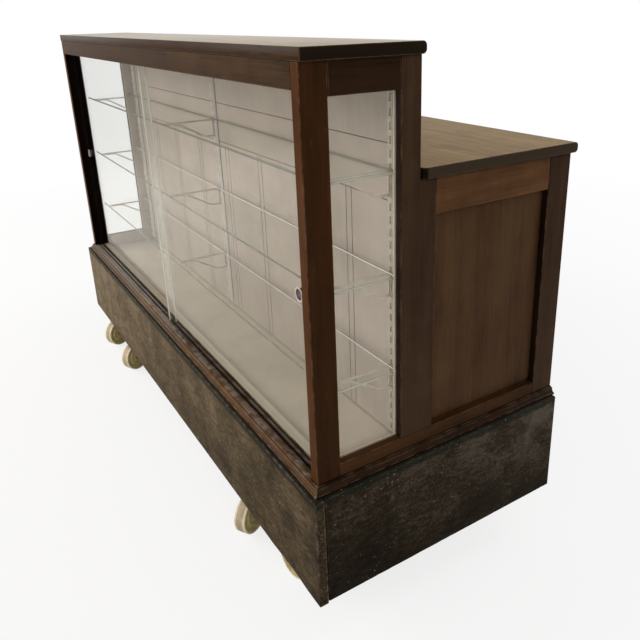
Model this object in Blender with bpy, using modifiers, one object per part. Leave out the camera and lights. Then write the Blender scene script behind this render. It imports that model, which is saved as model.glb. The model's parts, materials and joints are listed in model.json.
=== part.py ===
"""Old wooden shop counter on casters, with a glazed display in front and a lower work top behind.

Metres, +Z up, standing on the floor at z = 0. The customer's side faces -Y and the counter's length
runs along X. Depths are measured from the front face of the case, heights from the bottom edge of
the kick boards.
"""

import bmesh
import bpy
from math import cos, pi, radians, sin
from mathutils import Matrix, Vector

GAP = 0.0003                 # between pieces that touch
ARRIS = 0.0012               # broken edge of a planed board

# Case
CASE_LENGTH = 1.790          # over the outer faces of the two end frames
CASE_DEPTH = 0.640
CASE_HEIGHT = 1.067          # to the top of the upper slab
COUNTER_HEIGHT = 0.851       # to the top of the lower slab
TALL_DEPTH = 0.240           # of the glazed part
KICK_LIFT = 0.010            # kick boards' lower edges above the wheels

# Slabs
SLAB = 0.0215
UPPER_END_OVERHANG = 0.008
UPPER_BACK_OVERHANG = 0.004
LOWER_END_OVERHANG = 0.010
LOWER_BACK_OVERHANG = 0.008
SLAB_BACK_ROUND = 0.008
LOWER_CORNER_ROUND = 0.012   # in plan, where the lower slab passes the tall part

# End frames
FRAME = 0.025                # thickness of the frame's members
POST_WIDTH = 0.052
MIDDLE_STILE_LEAD = 0.0437   # of the middle stile in front of the tall part's back
MIDDLE_STILE_WIDTH = 0.080
REAR_STILE_WIDTH = 0.061
WINDOW_RAIL = 0.0555
PANEL_RAIL = 0.071
BOTTOM_RAIL = 0.085
BOTTOM_RAIL_SHOW = 0.0285    # above the base moulding
PLOUGH = 0.009               # depth of the grooves in the frame's edges
TONGUE = 0.0087
INFILL = 0.005               # end glass, wood panel and tongues
INFILL_BACKING = 0.004       # frame behind the infill

# Plinth
KICK_HEIGHT = 0.2515
KICK = 0.021
KICK_OVERRUN = 0.025         # of the front board past each end frame
KICK_JOINT = 0.0024          # open joint behind the front board
KICK_SETBACK = 0.003
MOULDING_HEIGHT = 0.0185

# Boards
BOARD = 0.018
BACK_BOARD = 0.012
DISPLAY_FLOOR_DROP = 0.014   # from the top of the sill
REAR_RAIL = 0.060
REAR_FRAME = 0.0247
MULLION = 0.045
STORAGE_SHELF_HEIGHT = 0.530

# Lining of the display's back: boards with a grooved strip at each joint, under a plain rail
LINING_PITCH = 0.215
LINING_SHIFT = 0.025         # the middle joint, from the middle of the case
LINING_MARGIN = 0.040        # least width of the outermost boards
LINING_STRIP = 0.021         # between the middles of a joint's two grooves
LINING_GROOVE = 0.002
LINING_GROOVE_DEPTH = 0.0016
LINING_TOP = 0.775
LINING_RAIL = 0.110

# Sliding doors
HEADER = 0.044
SILL_HEIGHT = 0.055
SILL_DEPTH = 0.056
HEADER_DEPTH = 0.052
PANE = 0.006
PANE_SPACE = 0.006           # between the two panes
FRONT_LIP = 0.0125           # front face of the case to the front pane
TRACK_PLAY = 0.0005
SILL_GROOVE = 0.006
HEADER_GROOVE = 0.015
PANE_BITE = 0.008            # how far a pane stands in the header
PANE_OVERLAP = 0.022
QUIRK_INSET = 0.005
QUIRK = 0.0016

# Finger pulls
PULL_INSET = 0.033           # jamb to the middle of the pull
PULL_HEIGHT = 0.642
PULL_FLANGE_RADIUS = 0.0145
PULL_RADIUS = 0.012
PULL_WALL = 0.001
PULL_FLANGE = 0.0012
PULL_HOLE_PLAY = 0.0004

# Shelving
SLOT_PITCH = 0.0254
SLOT_HEIGHT = 0.014
SLOT_WIDTH = 0.007
STANDARD_WIDTH = 0.016
STANDARD_DEPTH = 0.008
STANDARD_WALL = 0.0015
STANDARD_LIFT = 0.0154       # above the display floor
STANDARD_INSET = 0.041       # end frame to the middle of the standard
MIDDLE_STANDARD_SHIFT = -0.036
STANDARD_HEADROOM = 0.055
SHELF_COUNT = 3
SPARE_SLOTS = 4              # left above the evenly spaced shelves
SHELF_DROP = 3               # slots that all the shelves then come down
SHELF = 0.006
SHELF_FRONT = 0.058
SHELF_BACK_PLAY = 0.0097     # shelf to the standards
SHELF_END_PLAY = 0.003
BRACKET = 0.0024
BRACKET_SETBACK = 0.0117     # tip behind the shelf's front edge
BRACKET_RISE = 0.0215        # top edge above the middle of the upper hook
BRACKET_HEEL = 0.0505
BRACKET_SHOULDER = 0.0307    # from the standard to where the lower edge starts to rise
BRACKET_NECK = 0.1041        # from the standard to where it levels out
BRACKET_NECK_DEPTH = 0.0081
BRACKET_TIP = 0.0065
BRACKET_RIM = 0.005          # left round the opening
BRACKET_EASE = 0.009         # of each straight edge, given to the round corner
HOOK_HEIGHT = 0.006
HOOK_THROAT = 0.0028         # room behind the standard's wall
HOOK_DROP = 0.004

# Casters
WHEEL_RADIUS = 0.050
WHEEL_WIDTH = 0.032
TYRE = 0.0045                # rubber outside the metal disc
TREAD_ROUND = 0.006
DISC_DISH = 0.0035
HUB_RADIUS = 0.012
HUB_BOSS = 0.001             # of the hub past each side of the tyre
HUB_PLAY = 0.001
AXLE_RADIUS = 0.005
BORE_PLAY = 0.0004
CASTER_LEAD = 0.035          # swivel axis to axle
CROWN_RADIUS = 0.027
CROWN_HEIGHT = 0.012
CROWN_CLEARANCE = 0.0035     # above the wheel
STEM_RADIUS = 0.0055
STEM_LENGTH = 0.036
STEM_PLAY = 0.0004
STEM_HEADROOM = 0.001
FORK_LEG = 0.003
LEG_WIDTH = 0.036            # where the leg leaves the crown
FORK_EYE_RADIUS = 0.011
BOLT_HEAD_RADIUS = 0.008
BOLT_HEAD = 0.0038           # past the leg
BOLT_END = 0.005
BEARER_WIDTH = 0.073
BEARER_HEIGHT = 0.045
OUTER_CASTER = 0.148         # end frame's outer face to the swivel axis
INNER_CASTER = 0.390
FRONT_HEADINGS = (-65, -65, -60, -175)    # degrees from +X to each wheel, from left to right
BACK_HEADINGS = (-62, -48, -75, -58)

# Places that follow from the sizes above
FLOOR_CLEARANCE = 2 * WHEEL_RADIUS + KICK_LIFT
HALF = CASE_LENGTH / 2
INNER = HALF - FRAME
SLAB_UNDER = CASE_HEIGHT - SLAB
COUNTER_UNDER = COUNTER_HEIGHT - SLAB
MIDDLE_STILE_START = TALL_DEPTH - MIDDLE_STILE_LEAD
MIDDLE_STILE_END = MIDDLE_STILE_START + MIDDLE_STILE_WIDTH
REAR_STILE_START = CASE_DEPTH - REAR_STILE_WIDTH
SILL_TOP = KICK_HEIGHT + MOULDING_HEIGHT
RAIL_TOP = SILL_TOP + BOTTOM_RAIL_SHOW
DISPLAY_FLOOR = SILL_TOP - DISPLAY_FLOOR_DROP
REAR_PANE_DEPTH = FRONT_LIP + PANE + PANE_SPACE
HEADER_UNDER = SLAB_UNDER - GAP - HEADER
STANDARD_BACK = TALL_DEPTH - BACK_BOARD - GAP
STANDARD_FACE = STANDARD_BACK - STANDARD_DEPTH
CROWN_TOP = 2 * WHEEL_RADIUS + CROWN_CLEARANCE + CROWN_HEIGHT
BEARER_BOTTOM = CROWN_TOP + GAP - FLOOR_CLEARANCE
BACK_KICK = (CASE_DEPTH - KICK_SETBACK - KICK, CASE_DEPTH - KICK_SETBACK)
BACK_BEARER = (BACK_KICK[0] - GAP - BEARER_WIDTH, BACK_KICK[0] - GAP)


def wheel_profile():
    """Half section of a wheel about its axle: bore, hub boss, raised disc, tyre and crowned tread."""
    half = WHEEL_WIDTH / 2
    disc = WHEEL_RADIUS - TYRE
    face = [(AXLE_RADIUS + BORE_PLAY, half + HUB_BOSS), (HUB_RADIUS, half + HUB_BOSS),
            (HUB_RADIUS + 0.002, half - DISC_DISH / 3), (disc - 0.001, half - DISC_DISH),
            (disc, half - 0.0005),
            (WHEEL_RADIUS - 0.0015, half - 0.001), (WHEEL_RADIUS, half - TREAD_ROUND)]
    other = [(radius, -along) for radius, along in reversed(face)]
    return face + other + [face[0]]


def caster_reach(heading):
    """How far a wheel reaches past its swivel axis towards the customer."""
    turn = radians(heading)
    wheel = max(radius * abs(sin(turn)) + abs(along * cos(turn)) for radius, along in wheel_profile())
    return wheel - CASTER_LEAD * sin(turn)


FRONT_REACH = max([KICK + GAP] + [caster_reach(turn) - BEARER_WIDTH / 2 for turn in FRONT_HEADINGS])
FACE_Y = (FRONT_REACH - CASE_DEPTH - LOWER_BACK_OVERHANG) / 2


def start_scene():
    """Empties the scene and makes a collection for the case and one for its cutters."""
    for old in list(bpy.data.objects):
        bpy.data.objects.remove(old, do_unlink=True)
    groups = []
    for name in ("counter_display_case", "cutters"):
        group = bpy.data.collections.new(name)
        bpy.context.scene.collection.children.link(group)
        groups.append(group)
    return groups


CASE, CUTTERS = start_scene()


def finish(name, colour, roughness, metallic=0.0, alpha=1.0):
    """A plain finish: base colour, roughness, metal and clearness."""
    made = bpy.data.materials.new(name)
    made.use_nodes = True
    shader = made.node_tree.nodes["Principled BSDF"]
    shader.inputs["Base Color"].default_value = (*colour, 1.0)
    shader.inputs["Roughness"].default_value = roughness
    shader.inputs["Metallic"].default_value = metallic
    shader.inputs["Alpha"].default_value = alpha
    made.diffuse_color = (*colour, alpha)
    return made


DARK_WOOD = dict(colour=(0.040, 0.018, 0.009), roughness=0.38)
WARM_WOOD = dict(colour=(0.085, 0.038, 0.015), roughness=0.40)
COUNTER_WOOD = dict(colour=(0.270, 0.185, 0.105), roughness=0.45)
WORN_WOOD = dict(colour=(0.130, 0.098, 0.062), roughness=0.70)
PAINTED = dict(colour=(0.430, 0.370, 0.290), roughness=0.60)
BARE_WOOD = dict(colour=(0.230, 0.150, 0.085), roughness=0.65)
CLEAR_GLASS = dict(colour=(0.80, 0.86, 0.82), roughness=0.03, alpha=0.35)
PALE_STEEL = dict(colour=(0.62, 0.58, 0.53), roughness=0.40, metallic=0.6)
BRIGHT_STEEL = dict(colour=(0.70, 0.66, 0.62), roughness=0.25, metallic=1.0)
ZINC = dict(colour=(0.30, 0.26, 0.16), roughness=0.45, metallic=0.9)
CREAM_RUBBER = dict(colour=(0.62, 0.53, 0.38), roughness=0.55)


def add_object(name, mesh, place=(0, 0, 0), look=None, group=None):
    """Puts a mesh in the scene, with its own finish, or as a cutter if it has none."""
    made = bpy.data.objects.new(name, mesh)
    made.location = place
    if look:
        (group or CASE).objects.link(made)
        if not mesh.materials:
            mesh.materials.append(finish(name + "_finish", **look))
    else:
        CUTTERS.objects.link(made)
        made.hide_render = True
        made.display_type = "WIRE"
    return made


def mesh_from(shape, name):
    """Turns a bmesh into a mesh and frees it."""
    made = bpy.data.meshes.new(name)
    shape.to_mesh(made)
    shape.free()
    return made


def box(name, x, depth, height, look=None):
    """A box between the two ends of each range."""
    low = Vector((x[0], FACE_Y + depth[0], FLOOR_CLEARANCE + height[0]))
    high = Vector((x[1], FACE_Y + depth[1], FLOOR_CLEARANCE + height[1]))
    shape = bmesh.new()
    bmesh.ops.create_cube(shape, size=1.0)
    bmesh.ops.scale(shape, vec=high - low, verts=shape.verts)
    return add_object(name, mesh_from(shape, name), (low + high) / 2, look)


def board(name, x, depth, height, look, arris=ARRIS):
    """A planed board with broken edges."""
    made = box(name, x, depth, height, look)
    edge = made.modifiers.new("arris", "BEVEL")
    edge.width = arris
    edge.segments = 1
    edge.limit_method = "ANGLE"
    return made


def change(piece, tool, operation="DIFFERENCE"):
    """Cuts a piece with a tool, or joins the tool to it."""
    step = piece.modifiers.new(tool.name, "BOOLEAN")
    step.operation = operation
    step.object = tool
    step.solver = "EXACT"


def smooth(mesh):
    """Shades a mesh smooth, but for its sharp edges."""
    mesh.shade_smooth()
    mesh.set_sharp_from_angle(angle=radians(50))
    return mesh


def settled_mesh(made):
    """An object's shape with its modifiers applied, its loose seams welded and its shading smooth."""
    bpy.context.view_layer.update()
    seen = made.evaluated_get(bpy.context.evaluated_depsgraph_get())
    mesh = bpy.data.meshes.new_from_object(seen)
    shape = bmesh.new()
    shape.from_mesh(mesh)
    bmesh.ops.remove_doubles(shape, verts=shape.verts, dist=0.00001)
    shape.to_mesh(mesh)
    shape.free()
    return smooth(mesh)


def plate(name, outline, thickness, turn, place, look=None):
    """A flat outline of straight runs, given thickness and turned into place."""
    curve = bpy.data.curves.new(name, "CURVE")
    curve.dimensions = "2D"
    curve.fill_mode = "BOTH"
    curve.extrude = thickness / 2
    run = curve.splines.new("POLY")
    run.points.add(len(outline) - 1)
    for point, (across, up) in zip(run.points, outline):
        point.co = (across, up, 0, 1)
    run.use_cyclic_u = True
    drawn = bpy.data.objects.new(name + "_outline", curve)
    CUTTERS.objects.link(drawn)
    mesh = settled_mesh(drawn)
    bpy.data.objects.remove(drawn)
    mesh.transform(Matrix.Translation(place) @ turn)
    return add_object(name, mesh, look=look)


def turned(name, profile, steps):
    """A tool or blank turned about its own Z axis, from a profile that runs down its outer side."""
    shape = bmesh.new()
    corners = [shape.verts.new((radius, 0, along)) for radius, along in profile]
    for first, second in zip(corners, corners[1:]):
        shape.edges.new((first, second))
    made = add_object(name, mesh_from(shape, name))
    spin = made.modifiers.new("turn", "SCREW")
    spin.axis = "Z"
    spin.steps = steps
    spin.render_steps = steps
    spin.use_merge_vertices = True
    spin.merge_threshold = 0.00001
    return made


def rod(name, radius, start, end, sides=16):
    """A round cutter or pin between two points."""
    start = Vector(start)
    end = Vector(end)
    shape = bmesh.new()
    bmesh.ops.create_cone(shape, cap_ends=True, segments=sides, radius1=radius, radius2=radius,
                          depth=(end - start).length)
    lean = Vector((0, 0, 1)).rotation_difference(end - start).to_matrix().to_4x4()
    bmesh.ops.transform(shape, matrix=Matrix.Translation((start + end) / 2) @ lean, verts=shape.verts)
    return add_object(name, mesh_from(shape, name))


STAND_UP = Matrix.Rotation(pi / 2, 4, "Z") @ Matrix.Rotation(pi / 2, 4, "X")    # outline in the YZ plane


def span(side, near, far):
    """A range along X on one side of the middle, lowest first."""
    return tuple(sorted((side * near, side * far)))


def bevel_edges(shape, chosen, offset, segments):
    """Rounds the chosen edges of a bmesh."""
    edges = [edge for edge in shape.edges if chosen(edge)]
    bmesh.ops.bevel(shape, geom=edges, offset=offset, segments=segments, profile=0.5,
                    affect="EDGES", clamp_overlap=True)


def slab(name, length, depth, height, corner, look):
    """A top slab: its back edges rounded, and its front corners too when they have a radius in plan."""
    size = Vector((length, depth[1] - depth[0], SLAB))
    middle = Vector((0, FACE_Y + sum(depth) / 2, FLOOR_CLEARANCE + height - SLAB / 2))
    shape = bmesh.new()
    bmesh.ops.create_cube(shape, size=1.0)
    bmesh.ops.scale(shape, vec=size, verts=shape.verts)

    def upright(edge):
        return abs(edge.verts[0].co.z - edge.verts[1].co.z) > SLAB / 2

    def ahead(edge):
        return max(vert.co.y for vert in edge.verts) < -size.y / 2 + 0.001

    def behind(edge):
        return min(vert.co.y for vert in edge.verts) > size.y / 2 - 0.001

    if corner:
        bevel_edges(shape, lambda edge: upright(edge) and ahead(edge), corner, 6)
    bevel_edges(shape, lambda edge: not upright(edge) and behind(edge), SLAB_BACK_ROUND, 4)
    bevel_edges(shape, lambda edge: edge.is_manifold and edge.calc_face_angle() > pi / 3, ARRIS, 1)
    return add_object(name, smooth(mesh_from(shape, name)), middle, look)


def make_slabs():
    """The upper slab is square in plan; the lower one's corners are rounded beside the tall part."""
    slab("upper_top", CASE_LENGTH + 2 * UPPER_END_OVERHANG, (0.0, TALL_DEPTH + UPPER_BACK_OVERHANG),
         CASE_HEIGHT, 0, COUNTER_WOOD)
    slab("lower_top", CASE_LENGTH + 2 * LOWER_END_OVERHANG,
         (TALL_DEPTH + GAP, CASE_DEPTH + LOWER_BACK_OVERHANG),
         COUNTER_HEIGHT, LOWER_CORNER_ROUND, COUNTER_WOOD)


def infill_range(side, play):
    """Where the end glass, panel and tongues lie across the frame's thickness."""
    inner = INNER + INFILL_BACKING
    return span(side, inner - play, inner + INFILL + play)


def make_end_frame(side):
    """Posts, stiles and rails of one end, ploughed for their infill, with stub tongues on the rails."""
    word = "left" if side < 0 else "right"
    thick = span(side, INNER, HALF)
    tongue = infill_range(side, 0.0)
    groove = infill_range(side, GAP)
    foot = BEARER_BOTTOM
    rail_bottom = RAIL_TOP - BOTTOM_RAIL
    window = (POST_WIDTH, MIDDLE_STILE_START, RAIL_TOP, SLAB_UNDER - GAP - WINDOW_RAIL)
    panel = (MIDDLE_STILE_END, REAR_STILE_START, RAIL_TOP, COUNTER_UNDER - GAP - PANEL_RAIL)

    post = board(f"front_post_{word}", thick, (0, POST_WIDTH), (foot, SLAB_UNDER - GAP), WARM_WOOD)
    stile = board(f"rear_stile_{word}", thick, (REAR_STILE_START, CASE_DEPTH),
                  (foot, COUNTER_UNDER - GAP), DARK_WOOD)
    middle = middle_stile(f"middle_stile_{word}", side)
    rails = {
        "bottom_rail": (POST_WIDTH, REAR_STILE_START, rail_bottom, RAIL_TOP, WARM_WOOD),
        "window_rail": (window[0], window[1], window[3], SLAB_UNDER - GAP, DARK_WOOD),
        "panel_rail": (panel[0], panel[1], panel[3], COUNTER_UNDER - GAP, DARK_WOOD),
    }
    made = {}
    for rail, (start, end, low, high, look) in rails.items():
        made[rail] = board(f"{rail}_{word}", thick, (start + GAP, end - GAP), (low, high), look)
        for tip, (near, far) in (("front", (start - TONGUE, start + 0.004)),
                                 ("back", (end - 0.004, end + TONGUE))):
            change(made[rail], box(f"{rail}_{word}_{tip}_tongue", tongue, (near, far),
                                   (low + 2 * ARRIS, high - 2 * ARRIS)), "UNION")

    past = 0.002
    for name, bay, top, tall_sides in (("window", window, SLAB_UNDER, (post, middle)),
                                       ("panel", panel, COUNTER_UNDER, (middle, stile))):
        front, back, low, high = bay
        bottom = RAIL_TOP if name == "panel" else rail_bottom
        plough = box(f"{name}_plough_{word}", groove, (front - PLOUGH, back + PLOUGH),
                     (bottom - past, top + past))
        for upright in tall_sides:
            change(upright, plough)
        edge = box(f"{name}_groove_{word}", groove, (front - PLOUGH - past, back + PLOUGH + past),
                   (low - PLOUGH, high + PLOUGH))
        change(made[f"{name}_rail"], edge)
        infill = (front - PLOUGH + 2 * GAP, back + PLOUGH - 2 * GAP)
        rise = (low - PLOUGH + GAP, high + PLOUGH - 2 * GAP)
        if name == "window":
            board(f"end_glass_{word}", tongue, infill, rise, CLEAR_GLASS, 0.0005)
        else:
            board(f"end_panel_{word}", tongue, infill, rise, DARK_WOOD, 0.0005)
    change(made["bottom_rail"], box(f"bottom_rail_groove_{word}", groove,
                                    (POST_WIDTH - PLOUGH - past, REAR_STILE_START + PLOUGH + past),
                                    (RAIL_TOP - PLOUGH, RAIL_TOP + past)))
    change(stile, box(f"rear_stile_mortise_{word}", groove,
                      (REAR_STILE_START - past, REAR_STILE_START + PLOUGH), (rail_bottom, RAIL_TOP + past)))


def middle_stile(name, side):
    """Wide stile standing on the bottom rail, cut back above the lower slab."""
    low = RAIL_TOP + GAP
    notch = COUNTER_UNDER - GAP
    outline = ((MIDDLE_STILE_START, low), (MIDDLE_STILE_END, low), (MIDDLE_STILE_END, notch),
               (TALL_DEPTH, notch), (TALL_DEPTH, SLAB_UNDER - GAP), (MIDDLE_STILE_START, SLAB_UNDER - GAP))
    place = Vector((side * (HALF - FRAME / 2), FACE_Y, FLOOR_CLEARANCE))
    made = plate(name, outline, FRAME, STAND_UP, place, DARK_WOOD)
    edge = made.modifiers.new("arris", "BEVEL")
    edge.width = ARRIS
    edge.segments = 1
    edge.limit_method = "ANGLE"
    return made


def make_front():
    """Header and sill between the front posts, each with two grooves for the sliding panes."""
    run = (-INNER + GAP, INNER - GAP)
    header = board("front_header", run, (0, HEADER_DEPTH), (HEADER_UNDER, SLAB_UNDER - GAP), WARM_WOOD)
    sill = board("front_sill", run, (0, SILL_DEPTH), (SILL_TOP - SILL_HEIGHT, SILL_TOP), WARM_WOOD)
    past = (-HALF, HALF)
    above = SILL_TOP + 0.002
    for name, front in (("front", FRONT_LIP), ("rear", REAR_PANE_DEPTH)):
        slot = (front - TRACK_PLAY, front + PANE + TRACK_PLAY)
        upper = box(f"header_{name}_groove", past, slot, (HEADER_UNDER - 0.002, HEADER_UNDER + HEADER_GROOVE))
        lower = box(f"sill_{name}_groove", past, slot, (SILL_TOP - SILL_GROOVE, above))
        change(header, upper)
        change(sill, lower)
    quirk = box("sill_quirk", past, (QUIRK_INSET, QUIRK_INSET + QUIRK), (SILL_TOP - QUIRK, above))
    change(sill, quirk)


def make_boards():
    """Display back and floor board, and the open back of the work counter."""
    run = (-INNER + GAP, INNER - GAP)
    back = board("display_back", run, (TALL_DEPTH - BACK_BOARD, TALL_DEPTH),
                 (DISPLAY_FLOOR + GAP, SLAB_UNDER - GAP), PAINTED)
    groove_lining(back)
    board("bottom_board", run, (SILL_DEPTH + GAP, CASE_DEPTH - KICK_SETBACK),
          (DISPLAY_FLOOR - BOARD, DISPLAY_FLOOR), PAINTED)
    frame = (CASE_DEPTH - REAR_FRAME, CASE_DEPTH)
    rail_low = COUNTER_UNDER - GAP - REAR_RAIL
    board("rear_rail", run, frame, (rail_low, COUNTER_UNDER - GAP), DARK_WOOD)
    board("rear_mullion", (-MULLION / 2, MULLION / 2), frame, (DISPLAY_FLOOR + GAP, rail_low - GAP),
          DARK_WOOD)
    board("storage_shelf", run, (TALL_DEPTH + GAP, frame[0] - GAP),
          (STORAGE_SHELF_HEIGHT - BOARD, STORAGE_SHELF_HEIGHT), BARE_WOOD)


def groove_lining(back):
    """Cuts the pairs of grooves at the lining's joints, and those along its rail."""
    face = TALL_DEPTH - BACK_BOARD
    deep = (face - LINING_GROOVE_DEPTH, face + LINING_GROOVE_DEPTH)
    half = LINING_GROOVE / 2
    joints = int((INNER - LINING_MARGIN - LINING_SHIFT) / LINING_PITCH)
    middles = [LINING_SHIFT + joint * LINING_PITCH + side * LINING_STRIP / 2
               for joint in range(-joints, joints + 1) for side in (-1, 1)]
    upright = [((middle - half, middle + half), (DISPLAY_FLOOR, LINING_TOP)) for middle in middles]
    levels = (LINING_TOP, LINING_TOP + LINING_RAIL)
    lying = [((-HALF, HALF), (level - half, level + half)) for level in levels]
    for name, grooves in (("upright", upright), ("lying", lying)):
        shape = bmesh.new()
        for across, height in grooves:
            low = Vector((across[0], FACE_Y + deep[0], FLOOR_CLEARANCE + height[0]))
            high = Vector((across[1], FACE_Y + deep[1], FLOOR_CLEARANCE + height[1]))
            cut = bmesh.ops.create_cube(shape, size=1.0)["verts"]
            bmesh.ops.scale(shape, vec=high - low, verts=cut)
            bmesh.ops.translate(shape, vec=(low + high) / 2, verts=cut)
        change(back, add_object(f"lining_{name}_grooves", mesh_from(shape, name)))


def moulding_profile():
    """Out from the case and up: a square foot, a cove and two small beads."""
    foot = [(0.0, 0.0), (0.0130, 0.0), (0.0130, 0.0042)]
    cove = [(0.0130 - 0.0055 * sin(step * pi / 6), 0.0052 + 0.0060 * (1 - cos(step * pi / 6)))
            for step in range(1, 4)]
    bead = [(0.0050 + 0.0018 * cos(turn), 0.0138 + 0.0018 * sin(turn))
            for turn in (-pi / 4, 0, pi / 4, pi / 2)]
    return foot + cove + bead + [(0.0022, 0.0160), (0.0022, MOULDING_HEIGHT), (0.0, MOULDING_HEIGHT)]


def moulding(name, length, mitres, turn, place):
    """A run of base moulding; each mitred end slants outwards with the profile."""
    made = plate(name, moulding_profile(), length, Matrix.Identity(4), (0, 0, 0), WARM_WOOD)
    for corner in made.data.vertices:
        end = 1 if corner.co.z > 0 else 0
        if mitres[end]:
            corner.co.z += corner.co.x if end else -corner.co.x
    made.data.transform(Matrix.Translation(place) @ turn)
    return made


def make_plinth():
    """Base moulding on three sides and the kick boards below it."""
    level = FLOOR_CLEARANCE + KICK_HEIGHT + GAP
    lying_front = Matrix(((0, 0, -1, 0), (-1, 0, 0, 0), (0, 1, 0, 0), (0, 0, 0, 1)))
    moulding("base_moulding_front", CASE_LENGTH, (True, True), lying_front, (0, FACE_Y - GAP, level))
    for side, word in ((-1, "left"), (1, "right")):
        lying_end = Matrix(((side, 0, 0, 0), (0, 0, -side, 0), (0, 1, 0, 0), (0, 0, 0, 1)))
        mitres = (False, True) if side > 0 else (True, False)
        moulding(f"base_moulding_{word}", CASE_DEPTH, mitres, lying_end,
                 (side * (HALF + GAP), FACE_Y + CASE_DEPTH / 2, level))
        board(f"kick_board_{word}", span(side, HALF + GAP, HALF + GAP + KICK),
              (KICK_JOINT, CASE_DEPTH - KICK_SETBACK), (0, KICK_HEIGHT), WORN_WOOD, 0.002)
    board("kick_board_front", (-HALF - KICK_OVERRUN, HALF + KICK_OVERRUN), (-GAP - KICK, -GAP),
          (0, KICK_HEIGHT), WORN_WOOD, 0.002)
    board("kick_board_back", (-INNER + GAP, INNER - GAP), BACK_KICK, (0, DISPLAY_FLOOR - BOARD - GAP),
          WORN_WOOD, 0.002)


def finger_pull(name, place):
    """A round metal cup let into the glass, with a thin flange in front."""
    front = PULL_FLANGE
    back = -PANE - PULL_WALL
    inside = PULL_RADIUS - PULL_WALL
    profile = ((0, back + PULL_WALL), (inside, back + PULL_WALL), (inside, front - 0.0004),
               (inside + 0.0006, front), (PULL_FLANGE_RADIUS - 0.0005, front),
               (PULL_FLANGE_RADIUS, front - 0.0004), (PULL_FLANGE_RADIUS, GAP), (PULL_RADIUS, GAP),
               (PULL_RADIUS, back), (0, back))
    made = add_object(name, settled_mesh(turned(name + "_blank", profile, 20)), place, BRIGHT_STEEL)
    made.rotation_euler = (pi / 2, 0, 0)
    return made


def make_doors():
    """Two frameless panes that pass each other, each with its pull near the jamb."""
    clear = 2 * INNER
    width = (clear + PANE_OVERLAP) / 2 - TRACK_PLAY
    low = SILL_TOP - SILL_GROOVE + GAP
    high = HEADER_UNDER + PANE_BITE
    for name, side, front in (("front", 1, FRONT_LIP), ("rear", -1, REAR_PANE_DEPTH)):
        reach = INNER - TRACK_PLAY
        pane = board(f"sliding_pane_{name}", span(side, reach - width, reach), (front, front + PANE),
                     (low, high), CLEAR_GLASS, 0.0008)
        middle = Vector((side * (INNER - PULL_INSET), FACE_Y + front, FLOOR_CLEARANCE + PULL_HEIGHT))
        hole = rod(f"{name}_pull_hole", PULL_RADIUS + PULL_HOLE_PLAY, middle - Vector((0, 0.01, 0)),
                   middle + Vector((0, 0.02, 0)), 20)
        change(pane, hole)
        pull = finger_pull(f"finger_pull_{name}", middle)
        pull.parent = pane
        pull.matrix_parent_inverse = Matrix.Translation(-Vector(pane.location))


def eased(before, corner, after):
    """Points round a soft corner between two straight edges of a bracket."""
    start = corner + (before - corner).normalized() * BRACKET_EASE
    end = corner + (after - corner).normalized() * BRACKET_EASE
    steps = (step / 3 for step in range(4))
    return [start.lerp(corner, part).lerp(corner.lerp(end, part), part) for part in steps]


def bracket_slope():
    """The two ends of a bracket's slanting lower edge, outwards from the standard's back and up."""
    return (Vector((STANDARD_DEPTH + BRACKET_SHOULDER, -BRACKET_HEEL)),
            Vector((STANDARD_DEPTH + BRACKET_NECK, -BRACKET_NECK_DEPTH)))


def bracket_outline():
    """Outwards from the standard's back and down from the top: hooks, heel, slope and tip."""
    seat = STANDARD_DEPTH - STANDARD_WALL / 2
    behind = STANDARD_DEPTH - STANDARD_WALL - GAP
    length = STANDARD_FACE - SHELF_FRONT - BRACKET_SETBACK
    outline = [Vector((seat, 0))]
    for hook in (0, 1):
        top = HOOK_HEIGHT / 2 - BRACKET_RISE - hook * SLOT_PITCH
        low = top - HOOK_HEIGHT
        outline += [Vector((seat, top)), Vector((behind - HOOK_THROAT, top)),
                    Vector((behind - HOOK_THROAT, low - HOOK_DROP)), Vector((behind, low - HOOK_DROP)),
                    Vector((behind, low)), Vector((seat, low))]
    heel = Vector((seat, -BRACKET_HEEL))
    shoulder, neck = bracket_slope()
    tip = Vector((STANDARD_DEPTH + length, -BRACKET_TIP))
    outline += [heel] + eased(heel, shoulder, neck) + eased(shoulder, neck, tip)
    outline += [tip, Vector((STANDARD_DEPTH + length, 0))]
    return [(-across, up) for across, up in outline]


def bracket_opening():
    """The opening in a bracket, a rim's width inside its edges."""
    shoulder, neck = bracket_slope()
    along = (neck - shoulder).normalized()
    start = shoulder + Vector((-along.y, along.x)) * BRACKET_RIM
    near = STANDARD_DEPTH + BRACKET_RIM
    low = BRACKET_RIM - BRACKET_HEEL
    corners = ((near, -BRACKET_RIM), (near, low), start + along * ((low - start.y) / along.y),
               start + along * ((-BRACKET_RIM - start.y) / along.y))
    return [(-across, up) for across, up in corners]


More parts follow.
